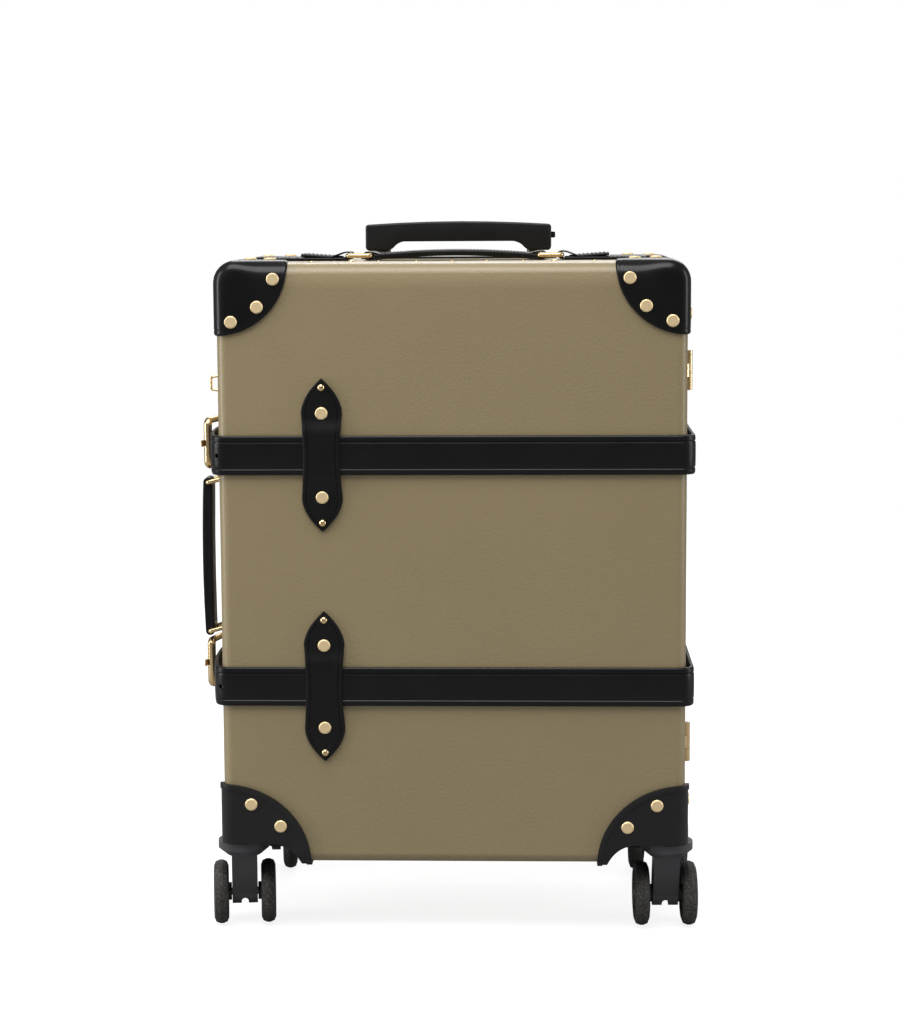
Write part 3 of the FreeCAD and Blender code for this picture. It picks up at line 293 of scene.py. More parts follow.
# %% Brass
finishes["brass"], shader, spot = new_finish("pale_brass", {"Metallic": 1.0})
cloud = spot.noise(140, 3)
feed(shader, {
    "Base Color": cloud.between((0.78, 0.56, 0.29), (0.90, 0.69, 0.40)),
    "Roughness": 0.16 + cloud * 0.14,
    "Normal": relief(spot.noise(5200, 2), 0.000012),
})
finishes["rivet"], shader, spot = new_finish("satin_rivet_brass", {"Metallic": 0.52})
tumbled = spot.noise(1600, 3)
feed(shader, {
    "Base Color": tumbled.between((0.95, 0.72, 0.40), (1.0, 0.80, 0.48)),
    "Roughness": 0.44 + tumbled * 0.14,
    "Normal": relief(tumbled, 0.00003),
})

# %% [markdown]
# Wheel housings, forks, the grip and the dials of the lock are moulded plastic. A mould for luggage is
# spark-eroded, which leaves an even fine grain. The same recipe serves all four, each with its own colour,
# gloss and grain. The forks are the same near-black plastic, made a lighter grey as a painted sheen for the
# light that their rounded hubs catch.

# %% Moulded plastics
moulded = {
    "housing": ((0.009, 0.009, 0.010), (0.013, 0.013, 0.014), 0.38, 2400),
    # Fork: near-black plastic lightened to grey, a painted sheen of the rounded hubs.
    "fork": ((0.060, 0.059, 0.065), (0.085, 0.083, 0.091), 0.28, 3000),
    "grip": ((0.005, 0.005, 0.0055), (0.009, 0.009, 0.0098), 0.36, 2600),
    "dial": ((0.010, 0.010, 0.011), (0.016, 0.016, 0.017), 0.42, 3000),
}
for name, (low, high, gloss, grain) in moulded.items():
    finishes[name], shader, spot = new_finish(name + "_plastic", {"Specular IOR Level": 0.36})
    blotch = spot.noise(80, 3)
    feed(shader, {
        "Base Color": blotch.between(low, high),
        "Roughness": gloss + blotch * 0.14,
        "Normal": relief(spot.noise(grain, 1), 0.00006),
    })

# %% [markdown]
# The tyres are soft grey-black compound with a little dust in the pores. Pale specks on a rough ground
# read as rubber where a plain dark grey reads as plastic.

# %% Tyre rubber
finishes["wheel"], shader, spot = new_finish("wheel_rubber", {"Specular IOR Level": 0.35})
speck = spot.noise(650, 4, 0.7)
dust = spot.node("ShaderNodeMapRange", {"interpolation_type": "SMOOTHSTEP"},
                 {"Value": speck, "From Min": 0.46, "From Max": 0.66})
feed(shader, {
    "Base Color": dust.between((0.032, 0.031, 0.029), (0.105, 0.100, 0.092)),
    "Roughness": 0.55 + speck * 0.25,
    "Normal": relief(speck, 0.00012),
})

# %% [markdown]
# Metals that aren't brass: drawn aluminium tubes, anodised taupe with faint lines along the draw, and
# bright steel axles. Stretching a noise along Z makes the draw lines.

# %% Tubes and steel
finishes["tube"], shader, spot = new_finish("anodised_tube", {"Metallic": 1.0})
drawn = spot.node("ShaderNodeMapping", {}, {"Vector": spot, "Scale": (1, 1, 0.02)})
lines = drawn.noise(2500, 2)
feed(shader, {
    "Base Color": lines.between((0.13, 0.115, 0.085), (0.20, 0.175, 0.13)),
    "Roughness": 0.34 + lines * 0.14,
})
finishes["steel"], shader, spot = new_finish("bright_steel", {"Metallic": 1.0})
turned = spot.noise(900, 3)
feed(shader, {
    "Base Color": turned.between((0.46, 0.46, 0.47), (0.60, 0.60, 0.61)),
    "Roughness": 0.22 + turned * 0.14,
})

# %% [markdown]
# Inside, the case is lined with a plain woven cotton and edged with stained ply. A weave is two sets of
# threads that pass over and under each other: two wave patterns at right angles, each strongest where the
# other is weakest.

# %% Lining cloth and rim
finishes["lining"], shader, spot = new_finish("lining_cotton", {"Specular IOR Level": 0.2})
threads = []
for axis in ("X", "Y", "Z"):
    threads.append(spot.node("ShaderNodeTexWave", {"bands_direction": axis},
                             {"Vector": spot, "Scale": 260.0, "Distortion": 0.6}, "Fac"))
weave = threads[0] * threads[2] + threads[1] * (1 - threads[2]) * 0.8
shade = spot.noise(30, 3)
feed(shader, {
    "Base Color": (shade * 0.6 + weave * 0.4).between((0.17, 0.135, 0.085), (0.31, 0.26, 0.18)),
    "Roughness": 0.8 + weave * 0.15,
    "Normal": relief(weave, 0.00025),
})
finishes["rim"], shader, spot = new_finish("stained_ply", {"Specular IOR Level": 0.4})
grain = spot.node("ShaderNodeMapping", {}, {"Vector": spot, "Scale": (1, 14, 1)}).noise(60, 4)
feed(shader, {
    "Base Color": grain.between((0.010, 0.009, 0.008), (0.030, 0.026, 0.022)),
    "Roughness": 0.42 + grain * 0.2,
    "Normal": relief(grain, 0.0001),
})

# %% [markdown]
# The record says which finish each piece of the frame takes, so the hard pieces are dressed in one loop.

# %% Dress the frame
slots = {item["node"]: item["material_slot"] for item in frame["record"]["subparts"]}
for name, item in frame["nodes"].items():
    item.data.materials.clear()
    item.data.materials.append(finishes["rivet" if name.endswith("_rivets") else slots[name]])
print("dressed", len(slots), "nodes")

# %% [markdown]
# The picture is a cut-out: its ground is plain white, and black leather stays black because the room that
# it mirrors is dim. So the floor is a grey sheet and the tent is dim, and both glow only towards the lens.

# %% Floor and tent
sheet_finish, shader, spot = new_finish("grey_sheet", {
    "Roughness": 0.9, "Specular IOR Level": 0.0, "Emission Strength": 0.86})
glow = Wire(spot.tree, spot.tree.nodes.new("ShaderNodeLightPath").outputs["Is Camera Ray"])
feed(shader, {
    "Base Color": spot.noise(2, 2).between((0.33, 0.33, 0.33), (0.35, 0.35, 0.35)),
    "Emission Color": glow.between((0, 0, 0), (1, 1, 1)),
})
floor_mesh.materials.append(sheet_finish)
tent = world.node_tree
background = tent.nodes["Background"]
background.inputs["Color"].default_value = (1, 1, 1, 1)
seen = Wire(tent, tent.nodes.new("ShaderNodeLightPath").outputs["Is Camera Ray"])
feed(background, {"Strength": 0.2 + seen * 0.8})

# %% [markdown]
# The leather pieces are new meshes that stand where the plain solids of the frame stand. They are drawn in
# millimetres, which reads better than thousandths of a metre, and shrunk once at the end. One function ends
# every piece: it turns faces outwards, shades them smooth with crisp edges, gives them a finish and says
# which body carries them.

# %% From mesh to piece


def finish_piece(shape, name, finish, body, nodes, crisp=38):
    """Makes an object of a shape drawn in millimetres, carried by a body, in place of CAD nodes."""
    bmesh.ops.recalc_face_normals(shape, faces=shape.faces)
    bmesh.ops.scale(shape, vec=(mm, mm, mm), verts=shape.verts)
    mesh = bpy.data.meshes.new(name)
    shape.to_mesh(mesh)
    shape.free()
    mesh.shade_smooth()
    mesh.set_sharp_from_angle(angle=math.radians(crisp))
    mesh.materials.append(finishes[finish])
    piece = bpy.data.objects.new(name, mesh)
    bpy.context.collection.objects.link(piece)
    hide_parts(*nodes)
    if body:
        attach(piece, body)
    print(name, len(mesh.polygons), "faces")
    return piece


# %% [markdown]
# Some small steps come back in many pieces: to hold a number between two ends, to ease it so that it starts
# and stops gently, to find the points that an extrusion made, to slice a shape along a plane, to turn a thing
# towards a direction, and to make a box that cuts. Each is one short function.

# %% Small steps


def clamp(value, low=0.0, high=1.0):
    """A value held between two ends."""
    return max(low, min(high, value))


def ease(value):
    """A share from 0 to 1 that starts and stops gently."""
    share = clamp(value)
    return share * share * (3 - 2 * share)


def made_verts(made):
    """The points among what an extrusion made."""
    return {item for item in made["geom"] if isinstance(item, bmesh.types.BMVert)}


def slice_at(shape, place, across):
    """Cuts in two every face that a plane crosses."""
    bmesh.ops.bisect_plane(shape, geom=shape.verts[:] + shape.edges[:] + shape.faces[:], dist=0.0005,
                           plane_co=place, plane_no=across)


def facing(place, direction):
    """A matrix that puts a thing at a place, with its Z along a direction."""
    turn = Vector((0, 0, 1)).rotation_difference(Vector(direction)).to_matrix().to_4x4()
    return Matrix.Translation(place) @ turn


def block(place, size):
    """A box of a size, put in place by a matrix."""
    shape = bmesh.new()
    bmesh.ops.create_cube(shape, size=1, matrix=place @ Matrix.Diagonal((*size, 1)))
    return shape


# %% [markdown]
# A strap is one section carried along a route. The route is walked like a turtle: so far ahead, then so
# many degrees round a radius. Each stop is a frame, a matrix whose X looks along the strap and whose Y
# looks out of its left side. The section's edge loop is extruded from one frame to the next, so the strap
# stays equally thick round every bend, which a scaled or bent box would not.

# %% Routes and sweeps


def walk(start, heading, moves, stride=8.0):
    """Frames along a plan: (length, 0) goes ahead, (radius, degrees) bends, to the left if positive."""
    here = Matrix.Translation((*start, 0)) @ Matrix.Rotation(math.radians(heading), 4, "Z")
    frames = [here.copy()]
    for amount, degrees in moves:
        if degrees:
            bend = math.radians(degrees)
            count = max(2, round(abs(degrees) / 9), round(abs(bend) * amount / stride))
            pivot = Matrix.Translation((0, math.copysign(amount, degrees), 0))
            move = pivot @ Matrix.Rotation(bend / count, 4, "Z") @ pivot.inverted()
        else:
            count = max(1, round(amount / stride))
            move = Matrix.Translation((amount / count, 0, 0))
        for step in range(count):
            here = here @ move
            frames.append(here.copy())
    return frames


def sweep(section, frames):
    """A closed strip: a section of (out, up) points carried along frames."""
    shape = bmesh.new()
    ring = [shape.verts.new(frames[0] @ Vector((0, out, up))) for out, up in section]
    edges = [shape.edges.new((ring[index - 1], ring[index])) for index in range(len(ring))]
    bmesh.ops.contextual_create(shape, geom=edges)
    for last, this in zip(frames, frames[1:]):
        made = bmesh.ops.extrude_edge_only(shape, edges=edges)
        fresh = made_verts(made)
        edges = [item for item in made["geom"]
                 if isinstance(item, bmesh.types.BMEdge) and fresh.issuperset(item.verts)]
        bmesh.ops.transform(shape, matrix=this @ last.inverted(), verts=list(fresh))
    bmesh.ops.contextual_create(shape, geom=edges)
    return shape


def strap_section(side):
    """Half-round edges and a pressed crease near each, on the outer face."""
    half = [(1.6, 0), (1.57, 5), (1.5, 8.8), (1.42, 9.2), (0.8, 10.1), (0.8, 10.3), (1.38, 11.0),
            (1.32, 13.4), (0.95, 14.5), (0.3, 15), (-1.0, 15), (-1.6, 14.4)]
    lower = [(out, -up) for out, up in reversed(half[1:])]
    return [(side * out, up) for out, up in lower + half]


# %% [markdown]
# Holes are punched last, as a saddler does. A Boolean modifier cuts them with a bundle of rods, and its
# result becomes the mesh, so the piece keeps no link to the tool.

# %% Punch


def rods(places, radius, depth, direction):
    """A bundle of round bars that start at places and run along a direction."""
    shape = bmesh.new()
    for place in places:
        middle = Vector(place) + Vector(direction) * depth / 2
        bmesh.ops.create_cone(shape, cap_ends=True, segments=20, radius1=radius, radius2=radius, depth=depth,
                              matrix=facing(middle, direction))
    return shape


def punch(piece, tool_shape):
    """Cuts a shape drawn in millimetres out of a piece."""
    bmesh.ops.scale(tool_shape, vec=(mm, mm, mm), verts=tool_shape.verts)
    tool_mesh = bpy.data.meshes.new("punch")
    tool_shape.to_mesh(tool_mesh)
    tool_shape.free()
    tool = bpy.data.objects.new("punch", tool_mesh)
    bpy.context.collection.objects.link(tool)
    cut = piece.modifiers.new("cut", "BOOLEAN")
    cut.object = tool
    cut.solver = "EXACT"
    whole = piece.data
    view = bpy.context.evaluated_depsgraph_get()
    piece.data = bpy.data.meshes.new_from_object(piece.evaluated_get(view))
    piece.modifiers.clear()
    bpy.data.objects.remove(tool)
    bpy.data.meshes.remove(tool_mesh)
    bpy.data.meshes.remove(whole)
    piece.data.set_sharp_from_angle(angle=math.radians(38))


# %% [markdown]
# Each strap runs once round the case. The part that crosses the hinge lies over both shells and is one
# piece. The tongue belongs to the lid and is pointed and punched. The buckle end belongs to the base, and
# is turned back round the buckle's heel bar and tucked against itself, with a slot for the prong and a
# groove where the prong lies when it is folded right back.

# %% Straps
strap_levels = {"upper": 375.0, "lower": 197.0}
strap_y, strap_bend = 101.7, 9.7
loop_x = -98.5
hinge_line = (183.0, -25.0)
heel_bar = (-190.0, 38.0)
hole_radius = 1.7


def tongue_point(shape, tip, length):
    """Draws the end of a strap in to a blunt point."""
    for vert in shape.verts:
        past = (vert.co.y - (tip - length)) / length
        if past > 0:
            vert.co.z *= 1 - 0.9 * past ** 1.5


for level, height in strap_levels.items():
    lift = Matrix.Translation((0, 0, height))
    round_moves = [(271.8, 0), (strap_bend, -90), (184.0, 0), (strap_bend, -90), (271.8, 0)]
    hinge_strap = sweep(strap_section(1), walk((loop_x, strap_y), 0, round_moves, 5.0))
    bmesh.ops.transform(hinge_strap, matrix=lift, verts=hinge_strap.verts)
    piece = finish_piece(hinge_strap, level + "_strap_round_hinge", "strap", None,
                         ["lid_straps", "base_straps"])
    x, y = hinge_line
    x * mm
    (y + 12) * mm
    x * mm
    (y - 12) * mm
    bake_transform(piece)

    tongue_moves = [(74.04, 0), (strap_bend, -79.33), (371.5, -18.56)]
    tongue = sweep(strap_section(1), walk((loop_x, -strap_y), 180, tongue_moves, 3.0))
    tongue_point(tongue, 26.2, 13.0)
    bmesh.ops.transform(tongue, matrix=lift, verts=tongue.verts)
    piece = finish_piece(tongue, level + "_strap_tongue", "strap", "lid", ["lid_straps"])
    holes = [(-180, 14 - 21.3 * index, height) for index in range(4)]
    punch(piece, rods(holes, hole_radius, 20, (-1, 0, 0)))
    punch(piece, rods([(-175.2, -96.2, height)], hole_radius, 20, (-0.54, -0.842, 0)))

    buckle_moves = [(71.5, 0), (strap_bend, 83.1), (56.0, 0), (3.65, -207), (5.5, 0), (12, 27), (17, 0)]
    buckle_end = sweep(strap_section(-1), walk((loop_x, strap_y), 180, buckle_moves, 4.0))
    bmesh.ops.transform(buckle_end, matrix=lift, verts=buckle_end.verts)
    piece = finish_piece(buckle_end, level + "_strap_buckle_end", "strap", "base", ["base_straps"])
    punch(piece, rods([(*heel_bar, height - 2.9)], 6.2, 5.8, (0, 0, 1)))
    for x, y, size in ((-194.15, 61.5, (11.7, 47, 6)), (-193.4, 67, (13.2, 36, 6.4))):
        punch(piece, block(Matrix.Translation((x, y, height)), size))

# %% [markdown]
# A strap loop is a band of leather cut to a pointed arch at each end and waisted in the middle. It lies flat
# on the case, and swells over the strap. A fine grid is the raw hide: each of its points is moved to the
# outline's width at its height, and out by the swell. The cut edge is rounded off, and a groove runs inside
# it for the thread.

# %% Strap loops
loop_end, loop_shoulder, arch_rise = 58.2, 32, 26.2
loop_hide, face_low, face_gain = 2.1, 2.3, 3.3
seam_inset, seam_pitch, seam_sink = 3.3, 3.0, 0.22


def loop_half_width(z):
    """Half the loop's width at a height over its middle."""
    far = abs(z)
    if far < loop_shoulder:
        return 13.65 + 1.85 * (far / loop_shoulder) ** 1.56
    return 0.25 + 15.25 * (1 - ((far - loop_shoulder) / arch_rise) ** 1.95)


def loop_swell(z):
    """How far the loop's face stands off the case at a height over its middle."""
    return face_low + face_gain * ease((30.5 - abs(z)) / 15.5)


def loop_relief(x, z):
    """The loop's face with its groove and rounded edge."""
    inset = loop_half_width(z) - abs(x)
    groove = 0.35 * max(0.0, 1 - abs(inset - seam_inset) / 0.9)
    worn = 0.5 * max(0.0, 1 - inset / 1.2) ** 2
    return loop_swell(z) - groove - worn


def strap_loop(side, height):
    """One loop on the front, side -1, or the back, side 1."""
    shape = bmesh.new()
    bmesh.ops.create_grid(shape, x_segments=36, y_segments=76, size=1)
    inner = made_verts(bmesh.ops.extrude_face_region(shape, geom=shape.faces[:]))
    for vert in shape.verts:
        z = vert.co.y * loop_end
        x = vert.co.x * loop_half_width(z)
        out = loop_swell(z) - loop_hide if vert in inner else loop_relief(x, z)
        vert.co = (loop_x + x, side * (half_depth + out), height + z)
    return shape


def stitch(shape, place, along, normal, size=1.15):
    """One sunken stitch, a small stretched ball that lies along a direction."""
    along = Vector(along).normalized()
    normal = Vector(normal).normalized()
    across = normal.cross(along)
    turn = Matrix((along, across, normal)).transposed().to_4x4()
    shrink = Matrix.Diagonal((size, 0.36, 0.3, 1))
    bmesh.ops.create_uvsphere(shape, u_segments=6, v_segments=4, radius=1,
                              matrix=Matrix.Translation(place) @ turn @ shrink)


for face, side, body in (("front", -1, "lid"), ("back", 1, "base")):
    thread = bmesh.new()
    for level, height in strap_levels.items():
        finish_piece(strap_loop(side, height), face + "_" + level + "_strap_loop", "leather", body,
                     [body + "_strap_loops"], 60)
        for hand in (-1, 1):
            for count in range(33):
                z = (count - 16) * seam_pitch
                ahead = z + 0.5
                x = hand * (loop_half_width(z) - seam_inset)
                x_ahead = hand * (loop_half_width(ahead) - seam_inset)
                y = side * (half_depth + loop_swell(z) - seam_sink)
                y_ahead = side * (half_depth + loop_swell(ahead) - seam_sink)
                stitch(thread, (loop_x + x, y, height + z), (x_ahead - x, y_ahead - y, 0.5), (0, side, 0))
    finish_piece(thread, face + "_loop_stitches", "thread", body, [])

# %% [markdown]
# The leather corners are blocked: damp hide is pressed over a mould and dries in its shape. Each is made of
# three quarter discs that a spin draws on the three faces of a sharp box corner. A function then carries any
# point of that box to the case's rounded outside, so the hide takes the same curves as the board under it.

# %% Leather corners
box_corner = Vector((half_width, half_depth, case_top))
edge_reach, edge_fall, edge_fade, front_fade = 20, 0.011, 20, 25
hide_thickness, pressed_line, worn_from = 2.3, 50.9, 52.9
hide_reaches = [0.0, 3, 6, 9, 12, 15, 18, 22, 27, 32, 37, 41, 45, 48.5, 50.1, pressed_line, 51.7, worn_from,
                53.9, 54.5]


def on_case(point, lift):
    """The place on the case's rounded outside for a point of its sharp box, raised by a lift."""
    x = clamp(point.x, -core_x, core_x)
    z = clamp(point.z, core_low, core_high)
    out = Vector((point.x - x, point.z - z))
    if out.length > side_round - edge_round:
        out = out.normalized() * (side_round - edge_round)
    core = Vector((x + out.x, clamp(point.y, -core_y, core_y), z + out.y))
    return core + (point - core).normalized() * (edge_round + lift)


def hide_lift(reach):
    """Thickness of the hide at a distance from the corner: a pressed line, then a rounded edge."""
    line = 0.3 * max(0.0, 1 - abs(reach - pressed_line) / 0.9)
    worn = 0.8 * max(0.0, (reach - worn_from) / 1.6) ** 2
    return hide_thickness - line - worn


def soft_edge(place):
    """How far the lid's outside moves back at a place, for a long curve from its front to its top."""
    near_edge = clamp(edge_reach - (case_top - place.z), 0.0, edge_reach)
    on_front = clamp(1 - (place.y + core_y) / front_fade)
    return edge_fall * near_edge ** 2 * ease((core_x - abs(place.x)) / edge_fade) * on_front


def blocked_corner(side_x, side_y):
    """One leather corner of the case."""
    shape = bmesh.new()
    fans = (((-1, 0, 0), (0, 0, 1), 90), ((-1, 0, 0), (0, 1, 0), -90), ((0, -1, 0), (1, 0, 0), 90))
    for arm, axis, angle in fans:
        line = [shape.verts.new(box_corner + Vector(arm) * reach) for reach in hide_reaches]
        edges = [shape.edges.new(pair) for pair in zip(line, line[1:])]
        bmesh.ops.spin(shape, geom=line + edges, cent=box_corner, axis=axis, angle=math.radians(angle),
                       steps=36)
    bmesh.ops.remove_doubles(shape, verts=shape.verts, dist=0.01)
    inner = made_verts(bmesh.ops.extrude_face_region(shape, geom=shape.faces[:]))
    for vert in shape.verts:
        reach = (vert.co - box_corner).length
        vert.co = on_case(vert.co, 0.1 if vert in inner else hide_lift(reach))
    bmesh.ops.scale(shape, vec=(side_x, side_y, 1), verts=shape.verts)
    if side_y < 0:
        for vert in shape.verts:
            vert.co.y += soft_edge(vert.co)
    return shape


for side_x, hand in ((-1, "left"), (1, "right")):
    for face, side_y, body in (("front", -1, "lid"), ("rear", 1, "base")):
        finish_piece(blocked_corner(side_x, side_y), face + "_" + hand + "_corner_leather", "corner", body,
                     [body + "_corners"], 60)

# %% [markdown]
# Handles and tabs are several layers of leather, glued, sewn and dressed at the edges. Their solids already
# have the right form, with eyes for the rings, so each starts as a merged copy of its solid. Flat triangles
# are dissolved, and every hard edge gets the round that an edge iron leaves.

# %% Handles and tabs


def merged_copy(node):
    """A CAD node's mesh in millimetres, with its loose triangles joined into flat faces."""
    shape = bmesh.new()
    shape.from_mesh(frame["nodes"][node].data)
    bmesh.ops.scale(shape, vec=(1 / mm, 1 / mm, 1 / mm), verts=shape.verts)
    bmesh.ops.remove_doubles(shape, verts=shape.verts, dist=0.001)
    bmesh.ops.dissolve_limit(shape, angle_limit=math.radians(0.5), verts=shape.verts, edges=shape.edges)
    return shape


def dressed_copy(node, round_off):
    """A merged copy of a CAD node, with its hard edges rounded."""
    shape = merged_copy(node)
    hard = [edge for edge in shape.edges if edge.is_manifold and edge.calc_face_angle() > math.radians(42)]
    bmesh.ops.bevel(shape, geom=hard, offset=round_off, segments=3, profile=0.5, affect="EDGES", material=-1,
                    clamp_overlap=True)
    return shape


for node, body, round_off in (("side_handle", "side_handle", 1.6), ("side_handle_tabs", "base", 0.5)):
    finish_piece(dressed_copy(node, round_off), node + "_leather", "leather", body, [node], 50)

# %% [markdown]
# The top handle lies nearly flat, so its bow and its folded ends are all that the eye sees of it from the
# front. It is made as a saddler makes it: a thick bowed grip, and thin leather folded round each ring and
# brought back under it. The tabs have the same fold, with a wedge of leather sewn over its end. All are
# strips on a route, walked flat on the ground and then stood up.

# %% Top handle
stand_up = Matrix.Rotation(math.pi / 2, 4, "X")


def band(thick, half_width, frames):
    """A leather strip with rounded edges along a route that is stood up."""
    t, w = thick / 2, half_width
    soft = min(t, 1.4)
    corner = [(t, w - soft), (t - soft * 0.3, w - soft * 0.3), (t - soft, w)]
    section = corner + [(-out, up) for out, up in reversed(corner)]
    section += [(-out, -up) for out, up in corner] + [(out, -up) for out, up in reversed(corner)]
    shape = sweep(section, frames)
    bmesh.ops.remove_doubles(shape, verts=shape.verts, dist=0.0001)
    bmesh.ops.transform(shape, matrix=stand_up, verts=shape.verts)
    return shape


def put_in(shape, other, flip=1):
    """Adds another shape to a shape, mirrored across X when flip is -1."""
    bmesh.ops.scale(other, vec=(flip, 1, 1), verts=other.verts)
    mesh = bpy.data.meshes.new("part")
    other.to_mesh(mesh)
    other.free()
    shape.from_mesh(mesh)
    bpy.data.meshes.remove(mesh)


handle = band(4.7, 17, walk((-63, 523.0), 5.545, [(652, -11.09)], 4.0))
tabs = bmesh.new()
for side in (-1, 1):
    fold = walk((58, 521.25), 0, [(10.8, 0), (2.75, 180), (2.8, 0), (8, 17), (9, 0)], 2.0)
    put_in(handle, band(1.1, 17, fold), side)
    put_in(tabs, band(2.6, 17, walk((86.5, 521.4), 0, [(63.5, 0)], 6.0)), side)
    fold = walk((92, 521.25), 180, [(8, 0), (2.75, -180), (1.5, 0), (8, -20), (9, 0)], 2.0)
    put_in(tabs, band(1.1, 17, fold), side)
    put_in(tabs, band(2.4, 16, walk((90, 522.3), 4.2, [(31, 0)], 4.0)), side)
finish_piece(handle, "top_handle_leather", "leather", "top_handle", ["top_handle"], 50)
finish_piece(tabs, "top_handle_tabs_leather", "leather", "base", ["top_handle_tabs"], 50)

# %% [markdown]
# The grip and the wheel housings come out of a mould, and a mould has no sharp edge anywhere: plastic would
# not fill it, and a hand would feel it. The housings get the same edge rounding as the leather. The grip is
# drawn again from its outline, with softer corners than its solid has, and gets a pocket for its button.

# %% Moulded edges
for node, body in (("front_wheel_housings", "lid"), ("rear_wheel_housings", "base")):
    finish_piece(dressed_copy(node, 0.8), node + "_moulding", "housing", body, [node], 40)

grip_front, grip_depth = 67, 22
grip_outline = [(-76, 526.5), (-76, 547.8), (-50, 549.25), (-25, 550.1), (0, 550.4), (25, 550.1),
                (50, 549.25), (76, 547.8), (76, 526.5), (55.8, 526.5), (50, 534), (-50, 534), (-55.8, 526.5)]
corner_rounds = {1: 2.6, 7: 2.6, 0: 3.2, 8: 3.2, 9: 4.0, 12: 4.0, 10: 6.0, 11: 6.0}
grip = bmesh.new()
outline = [grip.verts.new((x, grip_front, z)) for x, z in grip_outline]
grip.faces.new(outline)
for index, amount in corner_rounds.items():
    bmesh.ops.bevel(grip, geom=[outline[index]], offset=amount, segments=5, profile=0.5, affect="VERTICES",
                    material=-1)
back_face = made_verts(bmesh.ops.extrude_face_region(grip, geom=grip.faces[:]))
bmesh.ops.translate(grip, vec=(0, grip_depth, 0), verts=list(back_face))
bmesh.ops.recalc_face_normals(grip, faces=grip.faces)
rims = [edge for edge in grip.edges if abs(edge.verts[0].co.y - edge.verts[1].co.y) < 1]
bmesh.ops.bevel(grip, geom=rims, offset=1.8, segments=4, profile=0.5, affect="EDGES", material=-1,
                clamp_overlap=False)
piece = finish_piece(grip, "trolley_grip_moulding", "grip", "trolley_inner", ["trolley_grip"], 40)
punch(piece, block(Matrix.Translation((73.8, 78, 539)), (12.4, 8.8, 5.7)))

# %% [markdown]
# A cast buckle is heavier at the front, where the strap pulls, than at the heel that sits in the strap's fold.
# The solid has round bars of one size. A copy of it is thickened across the frame's own plane, more and more
# towards the front bar, and widened round its outside, where no strap runs. Then it gets the notch that a
# buckle has for the tip of its prong.

# %% Buckle frames
front_bar = Vector((-199.0, 0.0, 0.0))
frame_lie = Vector((*heel_bar, 0.0)) - front_bar
along_frame = frame_lie.normalized()
across_frame = Vector((-along_frame.y, along_frame.x, 0))
bar_rise = 17.5
prong_lie = Vector((0.3206, 0.9472, 0))
prong_turn = Matrix.Rotation(math.atan2(prong_lie.y, prong_lie.x), 4, "Z")
front_gain = 0.7
outside_gain = 0.5
for level, height in strap_levels.items():
    node = level + "_buckle_frame"
    heavy = merged_copy(node)
    for vert in heavy.verts:
        offset = (vert.co - front_bar) * Vector((1, 1, 0))
        near_front = clamp(1 - offset.dot(frame_lie) / frame_lie.length_squared)
        past_front = max(0.0, -offset.dot(along_frame))
        past_bar = max(0.0, abs(vert.co.z - height) - bar_rise)
        vert.co += across_frame * offset.dot(across_frame) * front_gain * near_front
        vert.co -= along_frame * past_front * outside_gain
        vert.co.z += math.copysign(past_bar * outside_gain, vert.co.z - height)
    piece = finish_piece(heavy, node + "_cast", "brass", node, [node], 50)
    middle = Matrix.Translation((-201.3, 0, height)) @ prong_turn @ Matrix.Translation((0, 3, 0))
    punch(piece, block(middle, (16, 6, 6.4)))

# %% [markdown]
# The board is bent over a form, so the lid's front runs into its top in a long soft curve, where the solid
# has one short radius. A copy of the shell is cut into strips along that edge, and each strip is moved back by
# the same parabola as the leather corners that lie over it. It dies away where the corners turn. Only the outer
# skin of the board moves. Normals weighted by area keep the large flat faces flat to the eye.

# %% Soft top edge
edge_middle = (-core_y, case_top - edge_round)
skin_from = 6.5
board = merged_copy("lid_shell")
for depth in range(edge_round, edge_reach + 1, 2):
    slice_at(board, (0, 0, case_top - depth), (0, 0, 1))
for side in (-1, 1):
    for x in range(core_x - edge_fade, core_x + 1, 4):
        slice_at(board, (side * x, 0, 0), (1, 0, 0))
for vert in board.verts:
    back, up = vert.co.y - edge_middle[0], max(0.0, vert.co.z - edge_middle[1])
    if back < 0.1 and math.hypot(back, up) > skin_from:
        vert.co.y += soft_edge(vert.co)
piece = finish_piece(board, "lid_shell_board", "fibre", "lid", ["lid_shell"])
piece.modifiers.new("flat_faces_stay_flat", "WEIGHTED_NORMAL").keep_sharp = True

# %% [markdown]
# The seams of handles and tabs are sewn near both edges. A row of stitches follows a few points; each stitch
# is the same small ball as on the loops, stretched along the row.

# %% Handle seams


def seam(shape, points, normal, pitch=3.2):
    """Stitches along straight runs between points."""
    for start, end in zip(points, points[1:]):
        start, end = Vector(start), Vector(end)
        count = max(1, round((end - start).length / pitch))
        for index in range(count):
            stitch(shape, start.lerp(end, (index + 0.5) / count), end - start, normal)


tab_thread = bmesh.new()
grip_thread = bmesh.new()
upward = (0, 0, 1)
for y in (-14.2, 14.2):
    for side in (-1, 1):
        seam(tab_thread, [(side * 93, y, 523.8), (side * 119, y, 525.7)], upward)
        seam(tab_thread, [(side * 123, y, 522.65), (side * 147, y, 522.65)], upward)
    seam(grip_thread, [(x, y, 528.33 - 3.05 * (x / 63) ** 2) for x in range(-56, 57, 8)], upward)
finish_piece(tab_thread, "top_tab_stitches", "thread", "base", [])
finish_piece(grip_thread, "top_handle_stitches", "thread", "top_handle", [])
side_thread = bmesh.new()
side_bow = ((-203.3, 233), (-204.2, 262), (-204.4, 284), (-204.2, 306), (-203.3, 335))
for y in (-2.4, 12.4):
    seam(side_thread, [(x, y, z) for x, z in side_bow], (-1, 0, 0))
finish_piece(side_thread, "side_handle_stitches", "thread", "side_handle", [])

# %% [markdown]
# Small brass nails: domed ones over the points of the strap loops, and a row of tacks along the lid's top,
# where the board is fixed to the frame inside. A nail head is a ball pressed flat, half sunk in what it holds.

# %% Brass nails


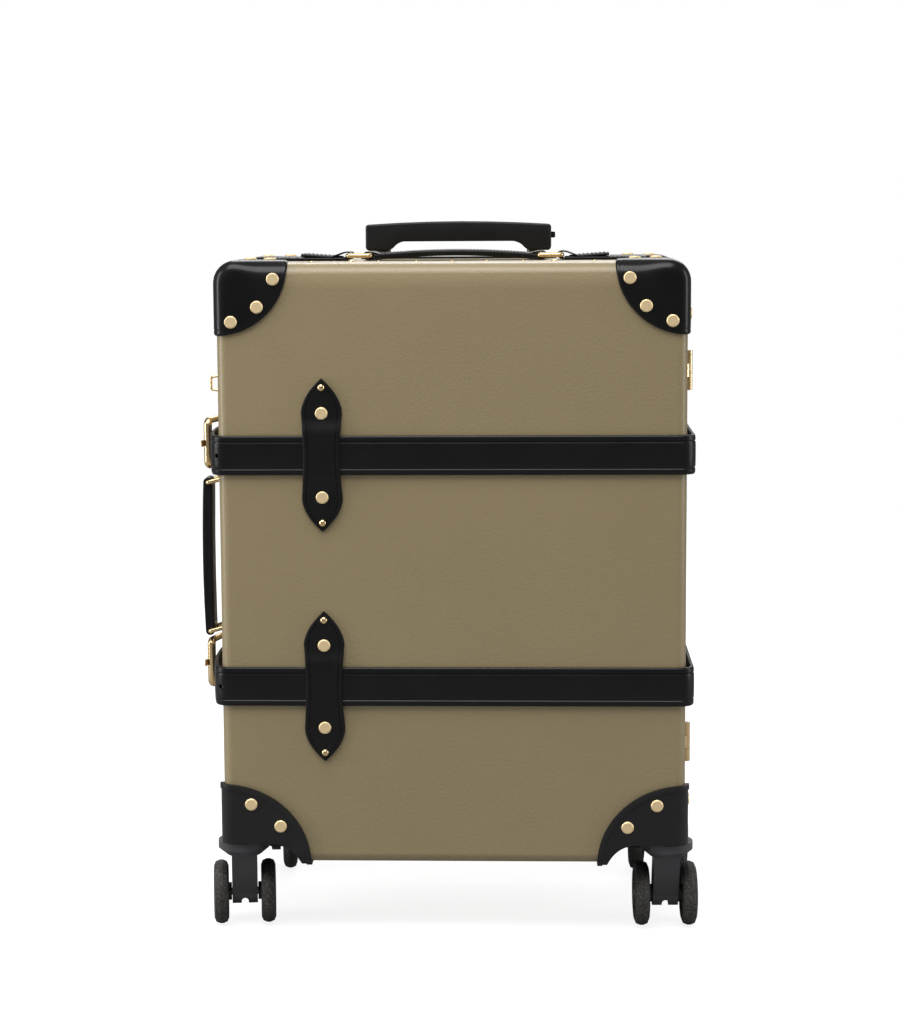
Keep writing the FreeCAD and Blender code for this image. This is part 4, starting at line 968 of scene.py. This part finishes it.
def nail_head(shape, place, radius, rise, outward):
    """A domed head on a face that looks outward."""
    flat = Matrix.Diagonal((radius, radius, rise, 1))
    bmesh.ops.create_uvsphere(shape, u_segments=16, v_segments=8, radius=1,
                              matrix=facing(place, outward) @ flat)


loop_face, loop_nail = 102.4, 51.5
tack_row = -60
for body, side in (("lid", -1), ("base", 1)):
    heads = bmesh.new()
    for height in strap_levels.values():
        for rise in (-loop_nail, loop_nail):
            nail_head(heads, (loop_x, side * loop_face, height + rise), 2.9, 2.3, (0, side, 0))
    if body == "lid":
        for x in (-108.6, -57, -28, -0.5, 26, 54, 108.6):
            nail_head(heads, (x, tack_row, case_top), 1.5, 0.9, upward)
        for x in (-78, 78):
            nail_head(heads, (x, tack_row, case_top), 2.6, 1.5, upward)
    finish_piece(heads, body + "_nail_heads", "brass", body, [])

# %% [markdown]
# The lining is thin cotton glued to the board, so it is never quite flat: it lifts a little in long and short
# swells, except along the open edge, where the rim holds it. A merged copy of the lining's solid is cut into
# small squares by many planes, which gives the cloth something to bend with. Then every point moves into the
# case by a smooth noise, the same for both sides of the cloth, so that its thickness stays.

# %% Linings


def cut_in_squares(shape, pitch):
    """Cuts a shape by planes across X, Y and Z, so that it can bend."""
    for axis in range(3):
        across = Vector((0, 0, 0))
        across[axis] = 1
        low = min(vert.co[axis] for vert in shape.verts)
        high = max(vert.co[axis] for vert in shape.verts)
        for index in range(1, int((high - low) / pitch)):
            slice_at(shape, across * (low + index * pitch), across)


def pucker(place):
    """How far the cloth lifts off the board: long swells and short ones, and nothing at the open edge."""
    swell = 0.5 + 0.5 * noise.noise(place / 38)
    ripple = 0.5 + 0.5 * noise.noise(place / 9)
    edge = clamp((abs(place.y + 24) - 13) / 10)
    return edge * (1.1 * swell + 0.35 * ripple)


def lining_cloth(node):
    """A lining's solid as cloth."""
    shape = merged_copy(node)
    cut_in_squares(shape, square)
    for vert in shape.verts:
        middle = on_case(vert.co, -cloth_inset)
        outward = (on_case(vert.co, 0) - middle).normalized()
        vert.co -= outward * pucker(middle)
    return shape


square, cloth_inset = 9.0, 3.6
lining_cuts = {"lid": ((0.4724, 0.5784), 0.241, "lid_shell_board"),
               "base": ((0.0743, 1.5876), 0.1146, "base_shell")}
for body, (flat, area, board_under) in lining_cuts.items():
    node = body + "_lining"
    cloth = finish_piece(lining_cloth(node), node + "_cloth", "lining", body, [node], 60)
